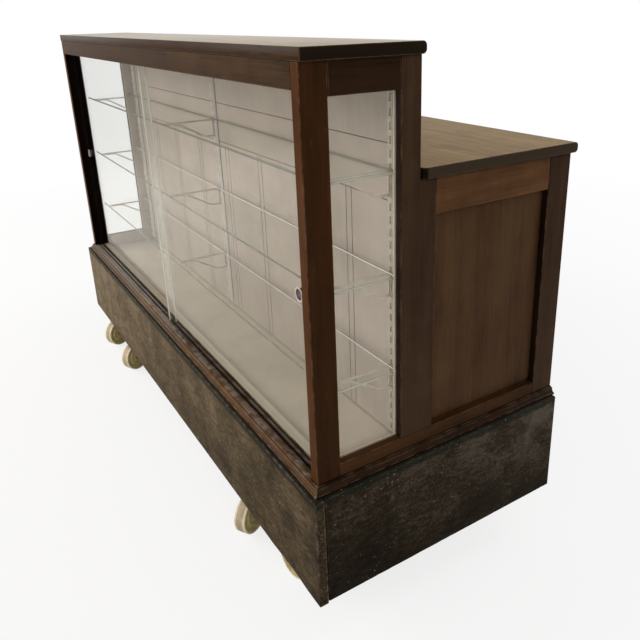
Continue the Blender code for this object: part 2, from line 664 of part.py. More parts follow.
def standard_mesh(slots, shelf_slots):
    """One slotted channel, from its foot up, with a bracket hooked in for each shelf."""
    half = STANDARD_WIDTH / 2
    wall = STANDARD_WALL
    deep = STANDARD_DEPTH
    section = ((-half, 0), (-half, -deep), (half, -deep), (half, 0), (half - wall, 0),
               (half - wall, wall - deep), (wall - half, wall - deep), (wall - half, 0))
    length = slots * SLOT_PITCH
    channel = plate("channel", section, length, Matrix.Identity(4), (0, 0, length / 2))
    shape = bmesh.new()
    for slot in range(slots):
        middle = (0, wall / 2 - deep, (slot + 0.5) * SLOT_PITCH)
        slit = bmesh.ops.create_cube(shape, size=1.0)["verts"]
        bmesh.ops.scale(shape, vec=(SLOT_WIDTH, 3 * wall, SLOT_HEIGHT), verts=slit)
        bmesh.ops.translate(shape, vec=middle, verts=slit)
    change(channel, add_object("slots", mesh_from(shape, "slots")))
    for slot in shelf_slots:
        top = (slot + 0.5) * SLOT_PITCH + BRACKET_RISE
        bracket = plate(f"bracket_{slot}", bracket_outline(), BRACKET, STAND_UP, (0, 0, top))
        change(bracket, plate("bracket_opening", bracket_opening(), 3 * BRACKET, STAND_UP, (0, 0, top)))
        change(channel, bracket, "UNION")
    return settled_mesh(channel)


def make_shelving():
    """Slotted standards with their brackets on the display's back, and the glass shelves."""
    foot = DISPLAY_FLOOR + STANDARD_LIFT
    slots = int((SLAB_UNDER - STANDARD_HEADROOM - foot) / SLOT_PITCH)
    step = (slots - SPARE_SLOTS) // SHELF_COUNT
    shelf_slots = tuple(step * (shelf + 1) - SHELF_DROP for shelf in range(SHELF_COUNT))
    mesh = standard_mesh(slots, shelf_slots)
    offset = INNER - STANDARD_INSET
    for word, x in (("left", -offset), ("middle", MIDDLE_STANDARD_SHIFT), ("right", offset)):
        add_object(f"shelf_standard_{word}", mesh.copy(),
                   (x, FACE_Y + STANDARD_BACK, FLOOR_CLEARANCE + foot), PALE_STEEL)
    for word, slot in zip(("low", "middle", "high"), shelf_slots):
        under = foot + (slot + 0.5) * SLOT_PITCH + BRACKET_RISE + GAP
        board(f"glass_shelf_{word}", (-INNER + SHELF_END_PLAY, INNER - SHELF_END_PLAY),
              (SHELF_FRONT, STANDARD_FACE - SHELF_BACK_PLAY), (under, under + SHELF), CLEAR_GLASS, 0.0008)


def fork_mesh():
    """Caster fork about its swivel axis at the floor: stem, crown, two legs and the axle bolt."""
    crown_low = CROWN_TOP - CROWN_HEIGHT
    neck = CROWN_RADIUS - 0.005
    crown = turned("crown", ((0, CROWN_TOP + STEM_LENGTH), (STEM_RADIUS, CROWN_TOP + STEM_LENGTH),
                             (STEM_RADIUS, CROWN_TOP), (neck, CROWN_TOP), (CROWN_RADIUS, CROWN_TOP - 0.004),
                             (CROWN_RADIUS, CROWN_TOP - 0.008), (neck + 0.002, crown_low),
                             (0, crown_low)), 12)
    turns = [radians(turn) for turn in range(30, -151, -30)]
    eye = [(CASTER_LEAD + FORK_EYE_RADIUS * cos(turn), WHEEL_RADIUS + FORK_EYE_RADIUS * sin(turn))
           for turn in turns]
    leg = [(-LEG_WIDTH / 2, crown_low + 0.001), (LEG_WIDTH / 2, crown_low + 0.001)] + eye
    inside = WHEEL_WIDTH / 2 + HUB_BOSS + HUB_PLAY
    outside = inside + FORK_LEG
    end = outside + BOLT_END
    axle = rod("axle", AXLE_RADIUS, (CASTER_LEAD, -end, WHEEL_RADIUS), (CASTER_LEAD, end, WHEEL_RADIUS), 12)
    change(crown, axle, "UNION")
    lying = Matrix.Rotation(pi / 2, 4, "X")
    for side in (-1, 1):
        middle = (0, side * (inside + outside) / 2, 0)
        change(crown, plate(f"leg_{side}", leg, FORK_LEG, lying, middle), "UNION")
        head = rod(f"bolt_head_{side}", BOLT_HEAD_RADIUS,
                   (CASTER_LEAD, side * (inside + 0.001), WHEEL_RADIUS),
                   (CASTER_LEAD, side * (outside + BOLT_HEAD), WHEEL_RADIUS), 6)
        change(crown, head, "UNION")
    return settled_mesh(crown)


def make_casters():
    """Two bearers under the case, each with four swivel casters."""
    fork = fork_mesh()
    wheel = settled_mesh(turned("wheel_blank", wheel_profile(), 20))
    across = ((-HALF + OUTER_CASTER, "left_outer"), (-HALF + INNER_CASTER, "left_inner"),
              (HALF - INNER_CASTER, "right_inner"), (HALF - OUTER_CASTER, "right_outer"))
    rows = (("front", (0, BEARER_WIDTH), FRONT_HEADINGS), ("back", BACK_BEARER, BACK_HEADINGS))
    for row, depth, headings in rows:
        bearer = board(f"caster_bearer_{row}", (-INNER + GAP, INNER - GAP), depth,
                       (BEARER_BOTTOM, BEARER_BOTTOM + BEARER_HEIGHT), BARE_WOOD)
        middle = FACE_Y + sum(depth) / 2
        for (x, word), heading in zip(across, headings):
            bore = rod(f"stem_bore_{row}_{word}", STEM_RADIUS + STEM_PLAY, (x, middle, CROWN_TOP - 0.01),
                       (x, middle, CROWN_TOP + STEM_LENGTH + STEM_HEADROOM), 12)
            change(bearer, bore)
            swivel = add_object(f"caster_fork_{row}_{word}", fork.copy(), (x, middle, 0), ZINC)
            swivel.rotation_euler = (0, 0, radians(heading))
            roller = add_object(f"caster_wheel_{row}_{word}", wheel.copy(), look=CREAM_RUBBER)
            roller.parent = swivel
            roller.location = (CASTER_LEAD, 0, WHEEL_RADIUS)
            roller.rotation_euler = (pi / 2, 0, 0)


def main():
    make_slabs()
    for side in (-1, 1):
        make_end_frame(side)
    make_front()
    make_boards()
    make_plinth()
    make_doors()
    make_shelving()
    make_casters()


main()
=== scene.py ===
"""Looks of an old wooden shop counter on casters, with a glazed display in front.

Metres, +Z up, the customer's side facing -Y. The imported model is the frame: sound pieces keep their
shape and get a finish, and worn, turned and moulded ones are modelled again, finer, in their place.
"""

import json
from math import atan2, cos, hypot, pi, radians, sin

import bmesh
import bpy
from mathutils import Matrix, Vector, noise


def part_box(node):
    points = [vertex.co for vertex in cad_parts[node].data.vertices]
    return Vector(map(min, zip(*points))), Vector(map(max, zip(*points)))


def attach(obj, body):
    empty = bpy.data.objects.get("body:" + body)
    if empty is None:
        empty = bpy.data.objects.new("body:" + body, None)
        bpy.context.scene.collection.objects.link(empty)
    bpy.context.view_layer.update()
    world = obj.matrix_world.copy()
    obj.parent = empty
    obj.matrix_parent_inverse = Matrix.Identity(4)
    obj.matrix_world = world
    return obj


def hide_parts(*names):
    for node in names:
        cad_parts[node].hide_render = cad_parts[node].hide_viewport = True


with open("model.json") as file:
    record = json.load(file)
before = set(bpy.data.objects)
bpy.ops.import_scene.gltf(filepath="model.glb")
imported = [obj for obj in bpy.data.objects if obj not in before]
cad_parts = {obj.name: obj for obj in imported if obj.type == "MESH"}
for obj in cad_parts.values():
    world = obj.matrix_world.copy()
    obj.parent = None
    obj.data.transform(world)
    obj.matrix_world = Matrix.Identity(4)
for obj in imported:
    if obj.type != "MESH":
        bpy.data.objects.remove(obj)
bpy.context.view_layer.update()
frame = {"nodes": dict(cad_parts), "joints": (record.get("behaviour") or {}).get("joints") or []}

NODES = frame["nodes"]
JOINTS = {joint["name"]: joint for joint in frame["joints"]}

# Camera: metres, degrees, and pixels of the 640 x 640 picture; the sensor in millimetres
PICTURE = 640
CAMERA_PLACE = (1.816255, -0.797449, 1.219335)
CAMERA_YAW = -57.7096
CAMERA_PITCH = -20.1187
CAMERA_ROLL = -1.4629
FOCAL_LENGTH = 667.50
CENTRE = (350.285, 259.581)
SENSOR = 36.0

# Studio: a soft square lamp's place, aim, size in metres, power in watts and colour
LAMPS = {"window_lamp": ((-2.4, -3.6, 2.1), (0.0, 0.0, 0.6), 2.6, 160, "#fffaf2"),
         "fill_lamp": ((3.6, -1.6, 2.2), (0.2, 0.0, 0.6), 2.4, 45, "#fdfbf8"),
         "back_lamp": ((1.0, 3.6, 2.8), (0.0, 0.0, 0.6), 2.4, 60, "#fbfbff")}
WHITE = (1.0, 1.0, 1.0, 1.0)
SURROUND = 0.45              # how much of its white the surround sends onto matt faces
FLOOR_RADIUS = 40.0
FLOOR_FADE_START = 1.2       # metres from the case's middle, where the floor starts to fade and has faded
FLOOR_FADE_END = 4.0
GLASS_FACES = 24             # that a line of sight and then light may pass: doors, shelves and end panes
FACE_ON = 0.04               # of the light that glass mirrors when looked at squarely

# Axes of the case: its length, its depth and its height
ALONG, ACROSS, UPRIGHT = 0, 1, 2

# Places taken from the frame
NEAR = 0.001                 # how far from a plane a point may lie and still count as on it
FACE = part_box("front_post_left")[0].y
KICK_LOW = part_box("kick_board_front")[0].z
LEFT_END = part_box("front_post_left")[0].x
RIGHT_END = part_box("front_post_right")[1].x
PANES_BACK = 0.031           # from the case's front face to just behind the rear door
SILL_PAINT = PANES_BACK + 0.0025    # where the paint on the sill starts
WALL_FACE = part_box("display_back")[0].y
LINING_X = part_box("display_back")[1].x + 0.0008    # how far out each way the lining's paint goes
REVEAL_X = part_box("end_glass_right")[1].x          # and where it was lapped round to the end glass
FLOOR_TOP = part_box("bottom_board")[1].z
HEADER_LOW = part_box("front_header")[0].z
STRIP_FACE = WALL_FACE - 0.0085                    # just before the shelf strips, where only brackets are
SHELF_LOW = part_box("glass_shelf_low")[0].z
SHELF_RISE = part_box("glass_shelf_middle")[0].z - SHELF_LOW
SHELF_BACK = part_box("glass_shelf_low")[1].y

# Slabs
SLAB_BACK_ROUND = 0.008
LOWER_CORNER_ROUND = 0.012
ARRIS = 0.0012               # the small round on a slab's other edges

# Plinth boards
BOARD_RISE = 0.25            # that their wear is spread over, about their own height
BOARD_ARRIS = 0.002
CELL = 0.012                 # of the grid that lets a worn board's edges wander
WEAR_REACH = 0.020           # how far from an edge its wear goes into the board
FOOT_WEAR = 0.0012           # the most that is worn off the foot, and off the top
TOP_WEAR = 0.0008
WEAR_ALONG = 60              # cells of the wear's noise in a metre along the board, and up it
WEAR_UP = 20
BITE = (RIGHT_END - 0.10, 0.07, 0.004)    # out of the front board's foot: its place, reach and depth
# Each pair of nails: its place along the front board, and the heights of its two heads
NAILS = ((-0.902, 0.128, 0.270), (-0.30, 0.150, 0.305), (0.30, 0.135, 0.298), (0.795, 0.128, 0.310))
NAIL_RADIUS = 0.0032
NAIL_PROUD = 0.0007
NAIL_DEPTH = 0.0020

# Base moulding
MOULDING_FOOT = 0.0130       # how far it stands out, up to FOOT_TOP
MOULDING_HEIGHT = 0.0185
FOOT_ROUND = 0.0008
FOOT_TOP = 0.0042
COVE_RADIUS = 0.0058
COVE_LEVEL = 0.0107
BEAD_RADIUS = 0.0020
BEAD_MIDDLE = (0.0050, 0.0138)
STEP = 0.0022

# Casters
WHEEL_RADIUS = 0.050
WHEEL_WIDTH = 0.032
TYRE = 0.0045
TYRE_INSET = 0.0004          # of a tyre's flank from the wheel's full width
TYRE_ROUND = 0.0022
BEAD_ROUND = 0.0012          # of its flank where it meets the disc
SHOULDER = 0.0060            # from the wheel's side to where its tread starts
RIB_RADIUS = 0.026           # to the middle of the ring pressed in a disc
RIB_ROUND = 0.0040
RIM_ROUND = 0.0020
HUB_RADIUS = 0.012
HUB_ROUND = 0.0010
HUB_PROUD = 0.0008
AXLE_RADIUS = 0.005
CROWN_TOP = 0.1155
CROWN_HEIGHT = 0.012
CROWN_RADIUS = 0.027
CROWN_FLAT = 0.021           # radius of the ball race's flat top
RACE_ROUND = 0.0025
RACE_HEIGHT = 0.0060
STEM_RADIUS = 0.0055
STEM_LENGTH = 0.036
LEG = 0.003
LEG_WIDTH = 0.036
LEG_INSIDE = 0.018
LEG_ROUND = 0.0006
EYE_RADIUS = 0.011
AXLE_PLAY = 0.0004
# What shows on an axle outside each leg: radius, thickness and number of sides
WASHER = (0.0085, 0.0008, 32)
NUT = (0.0078, 0.0030, 6)
BOLT_END = (AXLE_RADIUS, 0.0012, 24)

# Finger pulls
PULL_RADIUS = 0.012
PULL_FLANGE = 0.0145
PULL_PROUD = 0.0012
PULL_WALL = 0.0010
PULL_ROUND = 0.0015          # inside and outside the cup's foot
PULL_LIP = 0.0008            # where the cup turns into its flange
FLANGE_ROUND = 0.0006
FLANGE_THICK = 0.0009

# Finishes, in metres
CORNER_SHADE_REACH = 0.012           # how far from a corner the painted shade reaches
PAINT_SHADE_REACH = 0.006          # and how far from a painted board's grooves and corners its painted shade reaches
GROOVE_START = 0.0003        # behind the wall's face, where its grooves start, and their bottoms
GROOVE_END = 0.0030
SHADE_FADE_RISE = 0.010                # above the display's floor, over which the darker grooves and painted shade of the painted boards grow from a quarter to full
BARE_ROUND = 0.006           # how far from a top's edges its varnish is left
RELIEF = 0.0002              # of grain and brush marks


def linear(colour):
    """An sRGB hex colour as linear red, green, blue and alpha."""
    parts = [int(colour[place:place + 2], 16) / 255 for place in (1, 3, 5)]
    return tuple(part / 12.92 if part <= 0.04045 else ((part + 0.055) / 1.055) ** 2.4 for part in parts) + (1.0,)


def add(tree, kind, inputs=(), output=0, stops=(), **settings):
    """Adds a node with its settings, its ramp's stops and its inputs, and gives one of its outputs.

    The inputs come in the node's own order, or under their names or numbers. Each is a value, a colour in hex or
    another node's output. A MapRange takes a value, where it starts and ends, and what those two become, 0 and 1
    unless given. A Mix takes a share (0) and the colours under (6) and over it (7).
    """
    made = tree.nodes.new("ShaderNode" + kind)
    for name, value in settings.items():
        setattr(made, name, value)
    for place, (position, colour) in enumerate(stops):
        stop = made.color_ramp.elements[place] if place < 2 else made.color_ramp.elements.new(position)
        stop.position = position
        stop.color = linear(colour)
    for name, value in inputs.items() if isinstance(inputs, dict) else enumerate(inputs):
        if isinstance(value, bpy.types.NodeSocket):
            tree.links.new(value, made.inputs[name])
        else:
            made.inputs[name].default_value = linear(value) if isinstance(value, str) else value
    return made.outputs[output] if len(made.outputs) else None


def new_material(name):
    """An empty node material, and its tree."""
    made = bpy.data.materials.new(name)
    made.use_nodes = True
    made.node_tree.nodes.clear()
    return made, made.node_tree


def blended(tree, *parts):
    """Patterns added up, each by its share."""
    total = 0.0
    for pattern, share in parts:
        total = add(tree, "Math", [pattern, share, total], operation="MULTIPLY_ADD")
    return total


def all_of(tree, share, *others):
    """Where every one of some shares holds: their product."""
    for other in others:
        share = add(tree, "Math", [share, other], operation="MULTIPLY")
    return share


def layered(tree, colour, *coats):
    """A colour with others laid over it in turn, each by its share."""
    for share, coat in coats:
        colour = add(tree, "Mix", {0: share, 6: colour, 7: coat}, 2, data_type="RGBA")
    return colour


def spots(tree, size, detail=3.0, roughness=0.5):
    """Even noise whose blotches are about size millimetres across."""
    where = add(tree, "TexCoord", output="Object")
    return add(tree, "TexNoise", {"Vector": where, "Scale": 1000 / size, "Detail": detail, "Roughness": roughness})


def drawn_out(tree, grain, width, length):
    """Places on the piece, scaled for a pattern of a width and a length along the grain in millimetres."""
    scale = [1000 / width] * 3
    scale[grain] = 1000 / length
    return add(tree, "Mapping", {"Vector": add(tree, "TexCoord", output="Object"), "Scale": scale})


def streaks(tree, grain, width, length, detail=4.0, sway=0.3):
    """Noise drawn out along the grain: the width and length of one streak in millimetres."""
    return add(tree, "TexNoise", {"Vector": drawn_out(tree, grain, width, length), "Scale": 1.0, "Detail": detail,
                                  "Roughness": 0.6, "Distortion": sway})


def knots(tree, grain, gap):
    """How near a point is to a knot, 0 at its middle: knots lie about gap millimetres apart, and further along it."""
    return add(tree, "TexVoronoi", {"Vector": drawn_out(tree, grain, gap, 2.5 * gap), "Scale": 1.0})


def place_on(tree, axis):
    """How far along an axis a point lies, in metres."""
    return add(tree, "SeparateXYZ", [add(tree, "TexCoord", output="Object")], axis)


def turned(tree, axis):
    """How far a face looks along an axis, from -1 to 1."""
    return add(tree, "SeparateXYZ", [add(tree, "NewGeometry", output="True Normal")], axis)


def facing(tree, axis):
    """How squarely a face looks along an axis, either way."""
    return add(tree, "Math", [turned(tree, axis)], operation="ABSOLUTE")


def outside(tree):
    """1 where a face is seen from outside its piece."""
    return add(tree, "Math", [1.0, add(tree, "NewGeometry", output="Backfacing")], operation="SUBTRACT")


def within(tree, value, low, high):
    """1 where a value lies between two others, and 0 elsewhere."""
    above = add(tree, "Math", [value, low], operation="GREATER_THAN")
    below = add(tree, "Math", [value, high], operation="LESS_THAN")
    return all_of(tree, above, below)


def inside_display(tree, start, reach):
    """1 on the faces that line the display, from a depth behind the case's front and out to a reach each way."""
    deep = within(tree, place_on(tree, ACROSS), FACE + start, WALL_FACE + NEAR)
    wide = within(tree, place_on(tree, ALONG), -reach, reach)
    tall = within(tree, place_on(tree, UPRIGHT), FLOOR_TOP - NEAR, HEADER_LOW)
    return all_of(tree, deep, wide, tall)


def rubbed_and_highlit_edges(tree, reach, patch, more=0.0):
    """Where an edge within reach metres is rubbed, in patches some millimetres long; more joins the patches. On the
    sill and moulding these edges are partly a painted highlight.
    """
    rounded = add(tree, "Bevel", {"Radius": reach}, samples=6)
    true = add(tree, "NewGeometry", output="Normal")
    alike = add(tree, "VectorMath", [rounded, true], "Value", operation="DOT_PRODUCT")
    edge = add(tree, "MapRange", [alike, 0.992, 0.90])
    patches = add(tree, "Math", [spots(tree, patch, detail=4.0, roughness=0.6), more], operation="ADD")
    return all_of(tree, edge, add(tree, "MapRange", [patches, 0.42, 0.66]))


def corners(tree, open_sky, closed):
    """1 where shade is painted into a corner, from ambient occlusion; the two shares of open sky give where it starts
    and is full.
    """
    sky = add(tree, "AmbientOcclusion", {"Distance": CORNER_SHADE_REACH}, "AO", samples=8)
    return add(tree, "MapRange", [sky, open_sky, closed])


def varnished_wood(name, grain, tones, front=None, rub_and_highlight="#7a5c44", wear=0.0018, lining=None, start=PANES_BACK,
                   reach=LINING_X, dirt_and_shade=(0.80, 0.35), specular=0.03, knot_gap=130, left=0.0):
    """Stained pine under old varnish: soft figure along the grain, painted shade in its corners, small knots, pale
    scratches and rubbed edges.

    front gives the tones of the faces that look to the front, painted light on the posts and painted shade on the
    stiles;
    lining the colour of those inside the display, painted shade on the posts. left says how much greyer the stain
    gets towards the left end, and how much more its edges take the rubbed colour, partly as a painted highlight.
    """
    made, tree = new_material(name)
    broad = streaks(tree, grain, 46, 600, detail=4.0, sway=1.0)
    fine = streaks(tree, grain, 3.6, 120, detail=5.0, sway=0.8)
    blotch = spots(tree, 150, detail=7.0, roughness=0.66)
    figure = blended(tree, (broad, 0.40), (fine, 0.24), (blotch, 0.36))

    def stained(dark, middle, light):
        return add(tree, "ValToRGB", [figure], stops=((0.34, dark), (0.66, light), (0.50, middle)))

    colour = stained(*tones)
    # Faces that look to the front take their own tones: painted light on the posts, painted shade on the stiles.
    if front:
        colour = layered(tree, colour, (add(tree, "MapRange", [turned(tree, ACROSS), -0.5, -0.9]), stained(*front)))
    knot = add(tree, "MapRange", [knots(tree, grain, knot_gap), 0.060, 0.025, 0.0, 0.8])
    scratch = add(tree, "MapRange", [streaks(tree, grain, 2.5, 45, detail=3.0, sway=0.8), 0.68, 0.78, 0.0, 0.35])
    colour = layered(tree, colour, (knot, "#150a04"), (scratch, rub_and_highlight))
    # Towards the left end the stain greys and the edges take more of the rubbed colour, partly a painted highlight.
    greyed_and_highlit_left = 0.0
    if left:
        greyed_and_highlit_left = add(tree, "MapRange", [place_on(tree, ALONG), 0.4, LEFT_END, 0.0, left])
        colour = layered(tree, colour, (greyed_and_highlit_left, "#3a342c"))
    # Painted shade: ambient occlusion darkens corners and recesses towards near black.
    colour = layered(tree, colour, (rubbed_and_highlit_edges(tree, wear, 26, greyed_and_highlit_left), rub_and_highlight), (corners(tree, *dirt_and_shade), "#0b0502"))
    # On the posts this lining is near black: painted shade on the faces inside the display.
    if lining:
        colour = layered(tree, colour, (inside_display(tree, start, reach), lining))
    shine = add(tree, "MapRange", [all_of(tree, blotch, fine), 0.12, 0.40, 0.26, 0.42])
    relief = add(tree, "Bump", {"Height": fine, "Distance": RELIEF})
    varnish = add(tree, "BsdfPrincipled", {"Base Color": colour, "Roughness": shine, "Specular IOR Level": specular,
                                           "Normal": relief})
    add(tree, "OutputMaterial", [varnish])
    return made


def counter_top(name, tones, rims, roughness, specular, far):
    """A work top: varnish worn off the flat, where the wood has gone pale, on the upper top partly a painted sheen,
    and left dark on its edges.

    rims are the edge's colours: in front and behind, in its figure, and at the ends. far is how much darker the top
    gets towards its left end, and in which colour.
    """
    dark, middle, light = tones
    rim, rim_figure, end = rims
    made, tree = new_material(name)
    blotch = spots(tree, 80, detail=7.0, roughness=0.65)
    broad = streaks(tree, ALONG, 16, 420, detail=4.0, sway=1.4)
    fine = streaks(tree, ALONG, 3.2, 80, detail=5.0, sway=0.8)
    figure = blended(tree, (blotch, 0.40), (broad, 0.30), (fine, 0.30))
    tone = add(tree, "ValToRGB", [figure], stops=((0.38, dark), (0.62, light), (0.50, middle)))
    stain = add(tree, "MapRange", [spots(tree, 160, detail=6.0, roughness=0.65), 0.50, 0.70, 0.0, 0.45])
    darker = add(tree, "MapRange", [place_on(tree, ALONG), LEFT_END, 0.1, far[0], 0.0])
    aged = layered(tree, tone, (stain, dark), (darker, far[1]))
    rounded = add(tree, "SeparateXYZ", [add(tree, "Bevel", {"Radius": BARE_ROUND}, samples=8)], UPRIGHT)
    level = add(tree, "MapRange", [rounded, 0.90, 0.999])
    ragged = add(tree, "MapRange", [streaks(tree, ALONG, 5, 60, detail=4.0, sway=0.5), 0.30, 0.52])
    flat = add(tree, "MapRange", [facing(tree, UPRIGHT), 0.90, 0.995])
    bare = all_of(tree, flat, add(tree, "Math", [level, ragged], operation="MAXIMUM"))
    relief = add(tree, "Bump", {"Height": fine, "Distance": RELIEF})
    shine = add(tree, "MapRange", [figure, 0.35, 0.65, roughness - 0.05, roughness + 0.08])
    flat_part = add(tree, "BsdfPrincipled", {"Base Color": aged, "Roughness": shine, "Specular IOR Level": specular,
                                             "Normal": relief})
    edge_tone = layered(tree, rim, (add(tree, "MapRange", [fine, 0.40, 0.62]), rim_figure),
                        (add(tree, "MapRange", [facing(tree, ALONG), 0.93, 0.995]), end),
                        (rubbed_and_highlit_edges(tree, 0.0032, 16, 0.06), "#6d5a42"))
    edge_part = add(tree, "BsdfPrincipled", {"Base Color": edge_tone, "Roughness": 0.30, "Specular IOR Level": 0.03,
                                             "Normal": relief})
    add(tree, "OutputMaterial", [add(tree, "MixShader", [bare, edge_part, flat_part])])
    return made


def scuffed_board(name, grain, tones, fade, rise, grey, rub_and_highlight):
    """A plinth board kicked and washed for decades: stain worn dull, scraped, flecked with white and chipped.

    fade and rise say how much paler it gets to the right and up; the front board's paling to the left is partly
    painted light from the left. Its grit is drawn 5 mm coarse, because the real 1 mm dust would not show.
    """
    dark, middle, pale = tones
    made, tree = new_material(name)
    start, end = (LEFT_END, RIGHT_END) if grain == ALONG else (FACE, -FACE)
    # Paler to one side; on the front board, paler to the left, this is partly painted light from the left.
    across = add(tree, "MapRange", [place_on(tree, grain), start, end, -fade, fade])
    height = add(tree, "MapRange", [place_on(tree, UPRIGHT), KICK_LOW, KICK_LOW + BOARD_RISE])
    cloud = spots(tree, 110, detail=7.0, roughness=0.66)
    smear = streaks(tree, grain, 16, 60, detail=6.0, sway=2.4)
    grit = spots(tree, 5, detail=4.0, roughness=0.8)
    wear = blended(tree, (cloud, 0.30), (smear, 0.30), (grit, 0.40), (across, 1.0),
                   (add(tree, "MapRange", [height, 0.0, 1.0, -rise, rise]), 1.0))
    tone = add(tree, "ValToRGB", [wear], stops=((0.38, dark), (0.62, pale), (0.50, middle)))
    # Grey patches up and towards the paler end: partly dust, partly painted light.
    dusty_and_lit = all_of(tree, add(tree, "MapRange", [cloud, 0.46, 0.60]), add(tree, "MapRange", [height, 0.35, 0.75]),
                   add(tree, "MapRange", [across, 0.0, 0.05]), 0.8)
    chip = add(tree, "MapRange", [spots(tree, 13, detail=4.0, roughness=0.7), 0.36, 0.30, 0.0, 0.7])
    ragged = blended(tree, (height, 1.0), (smear, 0.14))
    top_line = add(tree, "MapRange", [ragged, 1.01, 1.03, 0.0, 0.85])
    splashed = add(tree, "MapRange", [spots(tree, 60, detail=4.0), 0.44, 0.66])
    many = add(tree, "Math", [splashed, add(tree, "MapRange", [height, 0.80, 1.0])], operation="MAXIMUM")
    speck = blended(tree, (spots(tree, 5, detail=4.0, roughness=0.7), 1.0), (many, 0.045))
    fleck = add(tree, "MapRange", [speck, 0.700, 0.730])
    worn = layered(tree, tone, (dusty_and_lit, grey), (chip, dark), (top_line, "#151712"), (fleck, "#a39b8a"),
                   (rubbed_and_highlit_edges(tree, 0.0060, 14), rub_and_highlight))
    shine = add(tree, "MapRange", [grit, 0.3, 0.7, 0.45, 0.70])
    relief = add(tree, "Bump", {"Height": wear, "Distance": 0.0006})
    add(tree, "OutputMaterial", [add(tree, "BsdfPrincipled", {"Base Color": worn, "Roughness": shine,
                                                              "Specular IOR Level": 0.04, "Normal": relief})])
    return made


def painted_board(name, tones):
    """Old cream oil paint brushed on boards: faint brush marks, yellowed patches, and darker grooves and corners,
    partly painted shade.
    """
    dark, middle, light = tones
    made, tree = new_material(name)
    cloud = spots(tree, 160, detail=5.0, roughness=0.6)
    brush = streaks(tree, UPRIGHT, 3.5, 160, detail=4.0, sway=0.3)
    blend = blended(tree, (cloud, 0.6), (brush, 0.4))
    tone = add(tree, "ValToRGB", [blend], stops=((0.30, dark), (0.70, light), (0.50, middle)))
    # Darker groove bottoms, and painted shade from ambient occlusion in grooves and corners; both weaker just above
    # the floor.
    sky = add(tree, "AmbientOcclusion", {"Distance": PAINT_SHADE_REACH}, "AO", samples=8)
    groove = within(tree, place_on(tree, ACROSS), WALL_FACE + GROOVE_START, WALL_FACE + GROOVE_END)
    grime_and_shade = add(tree, "Math", [add(tree, "MapRange", [sky, 0.98, 0.78]), groove], operation="MAXIMUM")
    shade_fade = add(tree, "MapRange", [place_on(tree, UPRIGHT), FLOOR_TOP, FLOOR_TOP + SHADE_FADE_RISE, 0.25, 1.0])
    grimy_and_shaded = layered(tree, tone, (all_of(tree, grime_and_shade, shade_fade), "#4c4338"))
    relief = add(tree, "Bump", {"Height": brush, "Distance": RELIEF})
    add(tree, "OutputMaterial", [add(tree, "BsdfPrincipled", {"Base Color": grimy_and_shaded, "Roughness": 0.55,
                                                              "Specular IOR Level": 0.2, "Normal": relief})])
    return made


def bare_wood(name, grain):
    """Unfinished pine inside the plinth and the open back: dry, with broad summer bands."""
    made, tree = new_material(name)
    bands = blended(tree, (streaks(tree, grain, 9, 900, detail=3.0, sway=0.8), 0.6),
                    (streaks(tree, grain, 1.5, 90, detail=4.0, sway=0.2), 0.4))
    tone = add(tree, "ValToRGB", [bands], stops=((0.32, "#6a5136"), (0.68, "#b1946c"), (0.50, "#94764f")))
    dirt_and_shade = add(tree, "MapRange", [spots(tree, 110, detail=5.0, roughness=0.6), 0.45, 0.75, 0.0, 0.6])
    colour = layered(tree, tone, (dirt_and_shade, "#5a4a38"))
    relief = add(tree, "Bump", {"Height": bands, "Distance": 0.0004})
    add(tree, "OutputMaterial", [add(tree, "BsdfPrincipled", {"Base Color": colour, "Roughness": 0.72,
                                                              "Specular IOR Level": 0.25, "Normal": relief})])
    return made


def float_glass(name, across, mirror, edges):
    """Clear float glass: nearly unseen face on, mirror-like at a slant, with ground edges."""
    made, tree = new_material(name)
    slant = add(tree, "Math", [add(tree, "LayerWeight", {"Blend": 0.5}, "Facing"), 5.0], operation="POWER")
    glance = add(tree, "Math", [slant, (1 - FACE_ON) * mirror, FACE_ON * mirror], operation="MULTIPLY_ADD")
    clear = add(tree, "BsdfTransparent", {"Color": (0.986, 0.988, 0.982, 1.0)})
    gloss = add(tree, "BsdfGlossy", {"Color": WHITE, "Roughness": 0.02})
    face = add(tree, "MixShader", [glance, clear, gloss])
    colour, seen = edges(tree)
    edge = add(tree, "BsdfPrincipled", {"Base Color": colour, "Roughness": 0.25, "Specular IOR Level": 0.1})
    rim = add(tree, "MapRange", [facing(tree, across), 0.80, 0.60])
    add(tree, "OutputMaterial", [add(tree, "MixShader", [all_of(tree, rim, seen), face, edge])])
    return made


def door_edges(tree):
    """A door's edges: dark against the frame, a painted shade, but bright, also through the pane, in the middle of
    the case, a painted light.
    """
    # Painted shade on the edges against the frame, painted light on those in the middle.
    middle = all_of(tree, within(tree, place_on(tree, ALONG), -0.5, 0.5), facing(tree, ALONG))
    return (layered(tree, "#23241c", (middle, "#dedac9")),
            add(tree, "Math", [outside(tree), middle], operation="MAXIMUM"))


def window_edges(tree):
    """A fixed pane's edges, hidden in the frame's groove."""
    return "#3a4036", outside(tree)


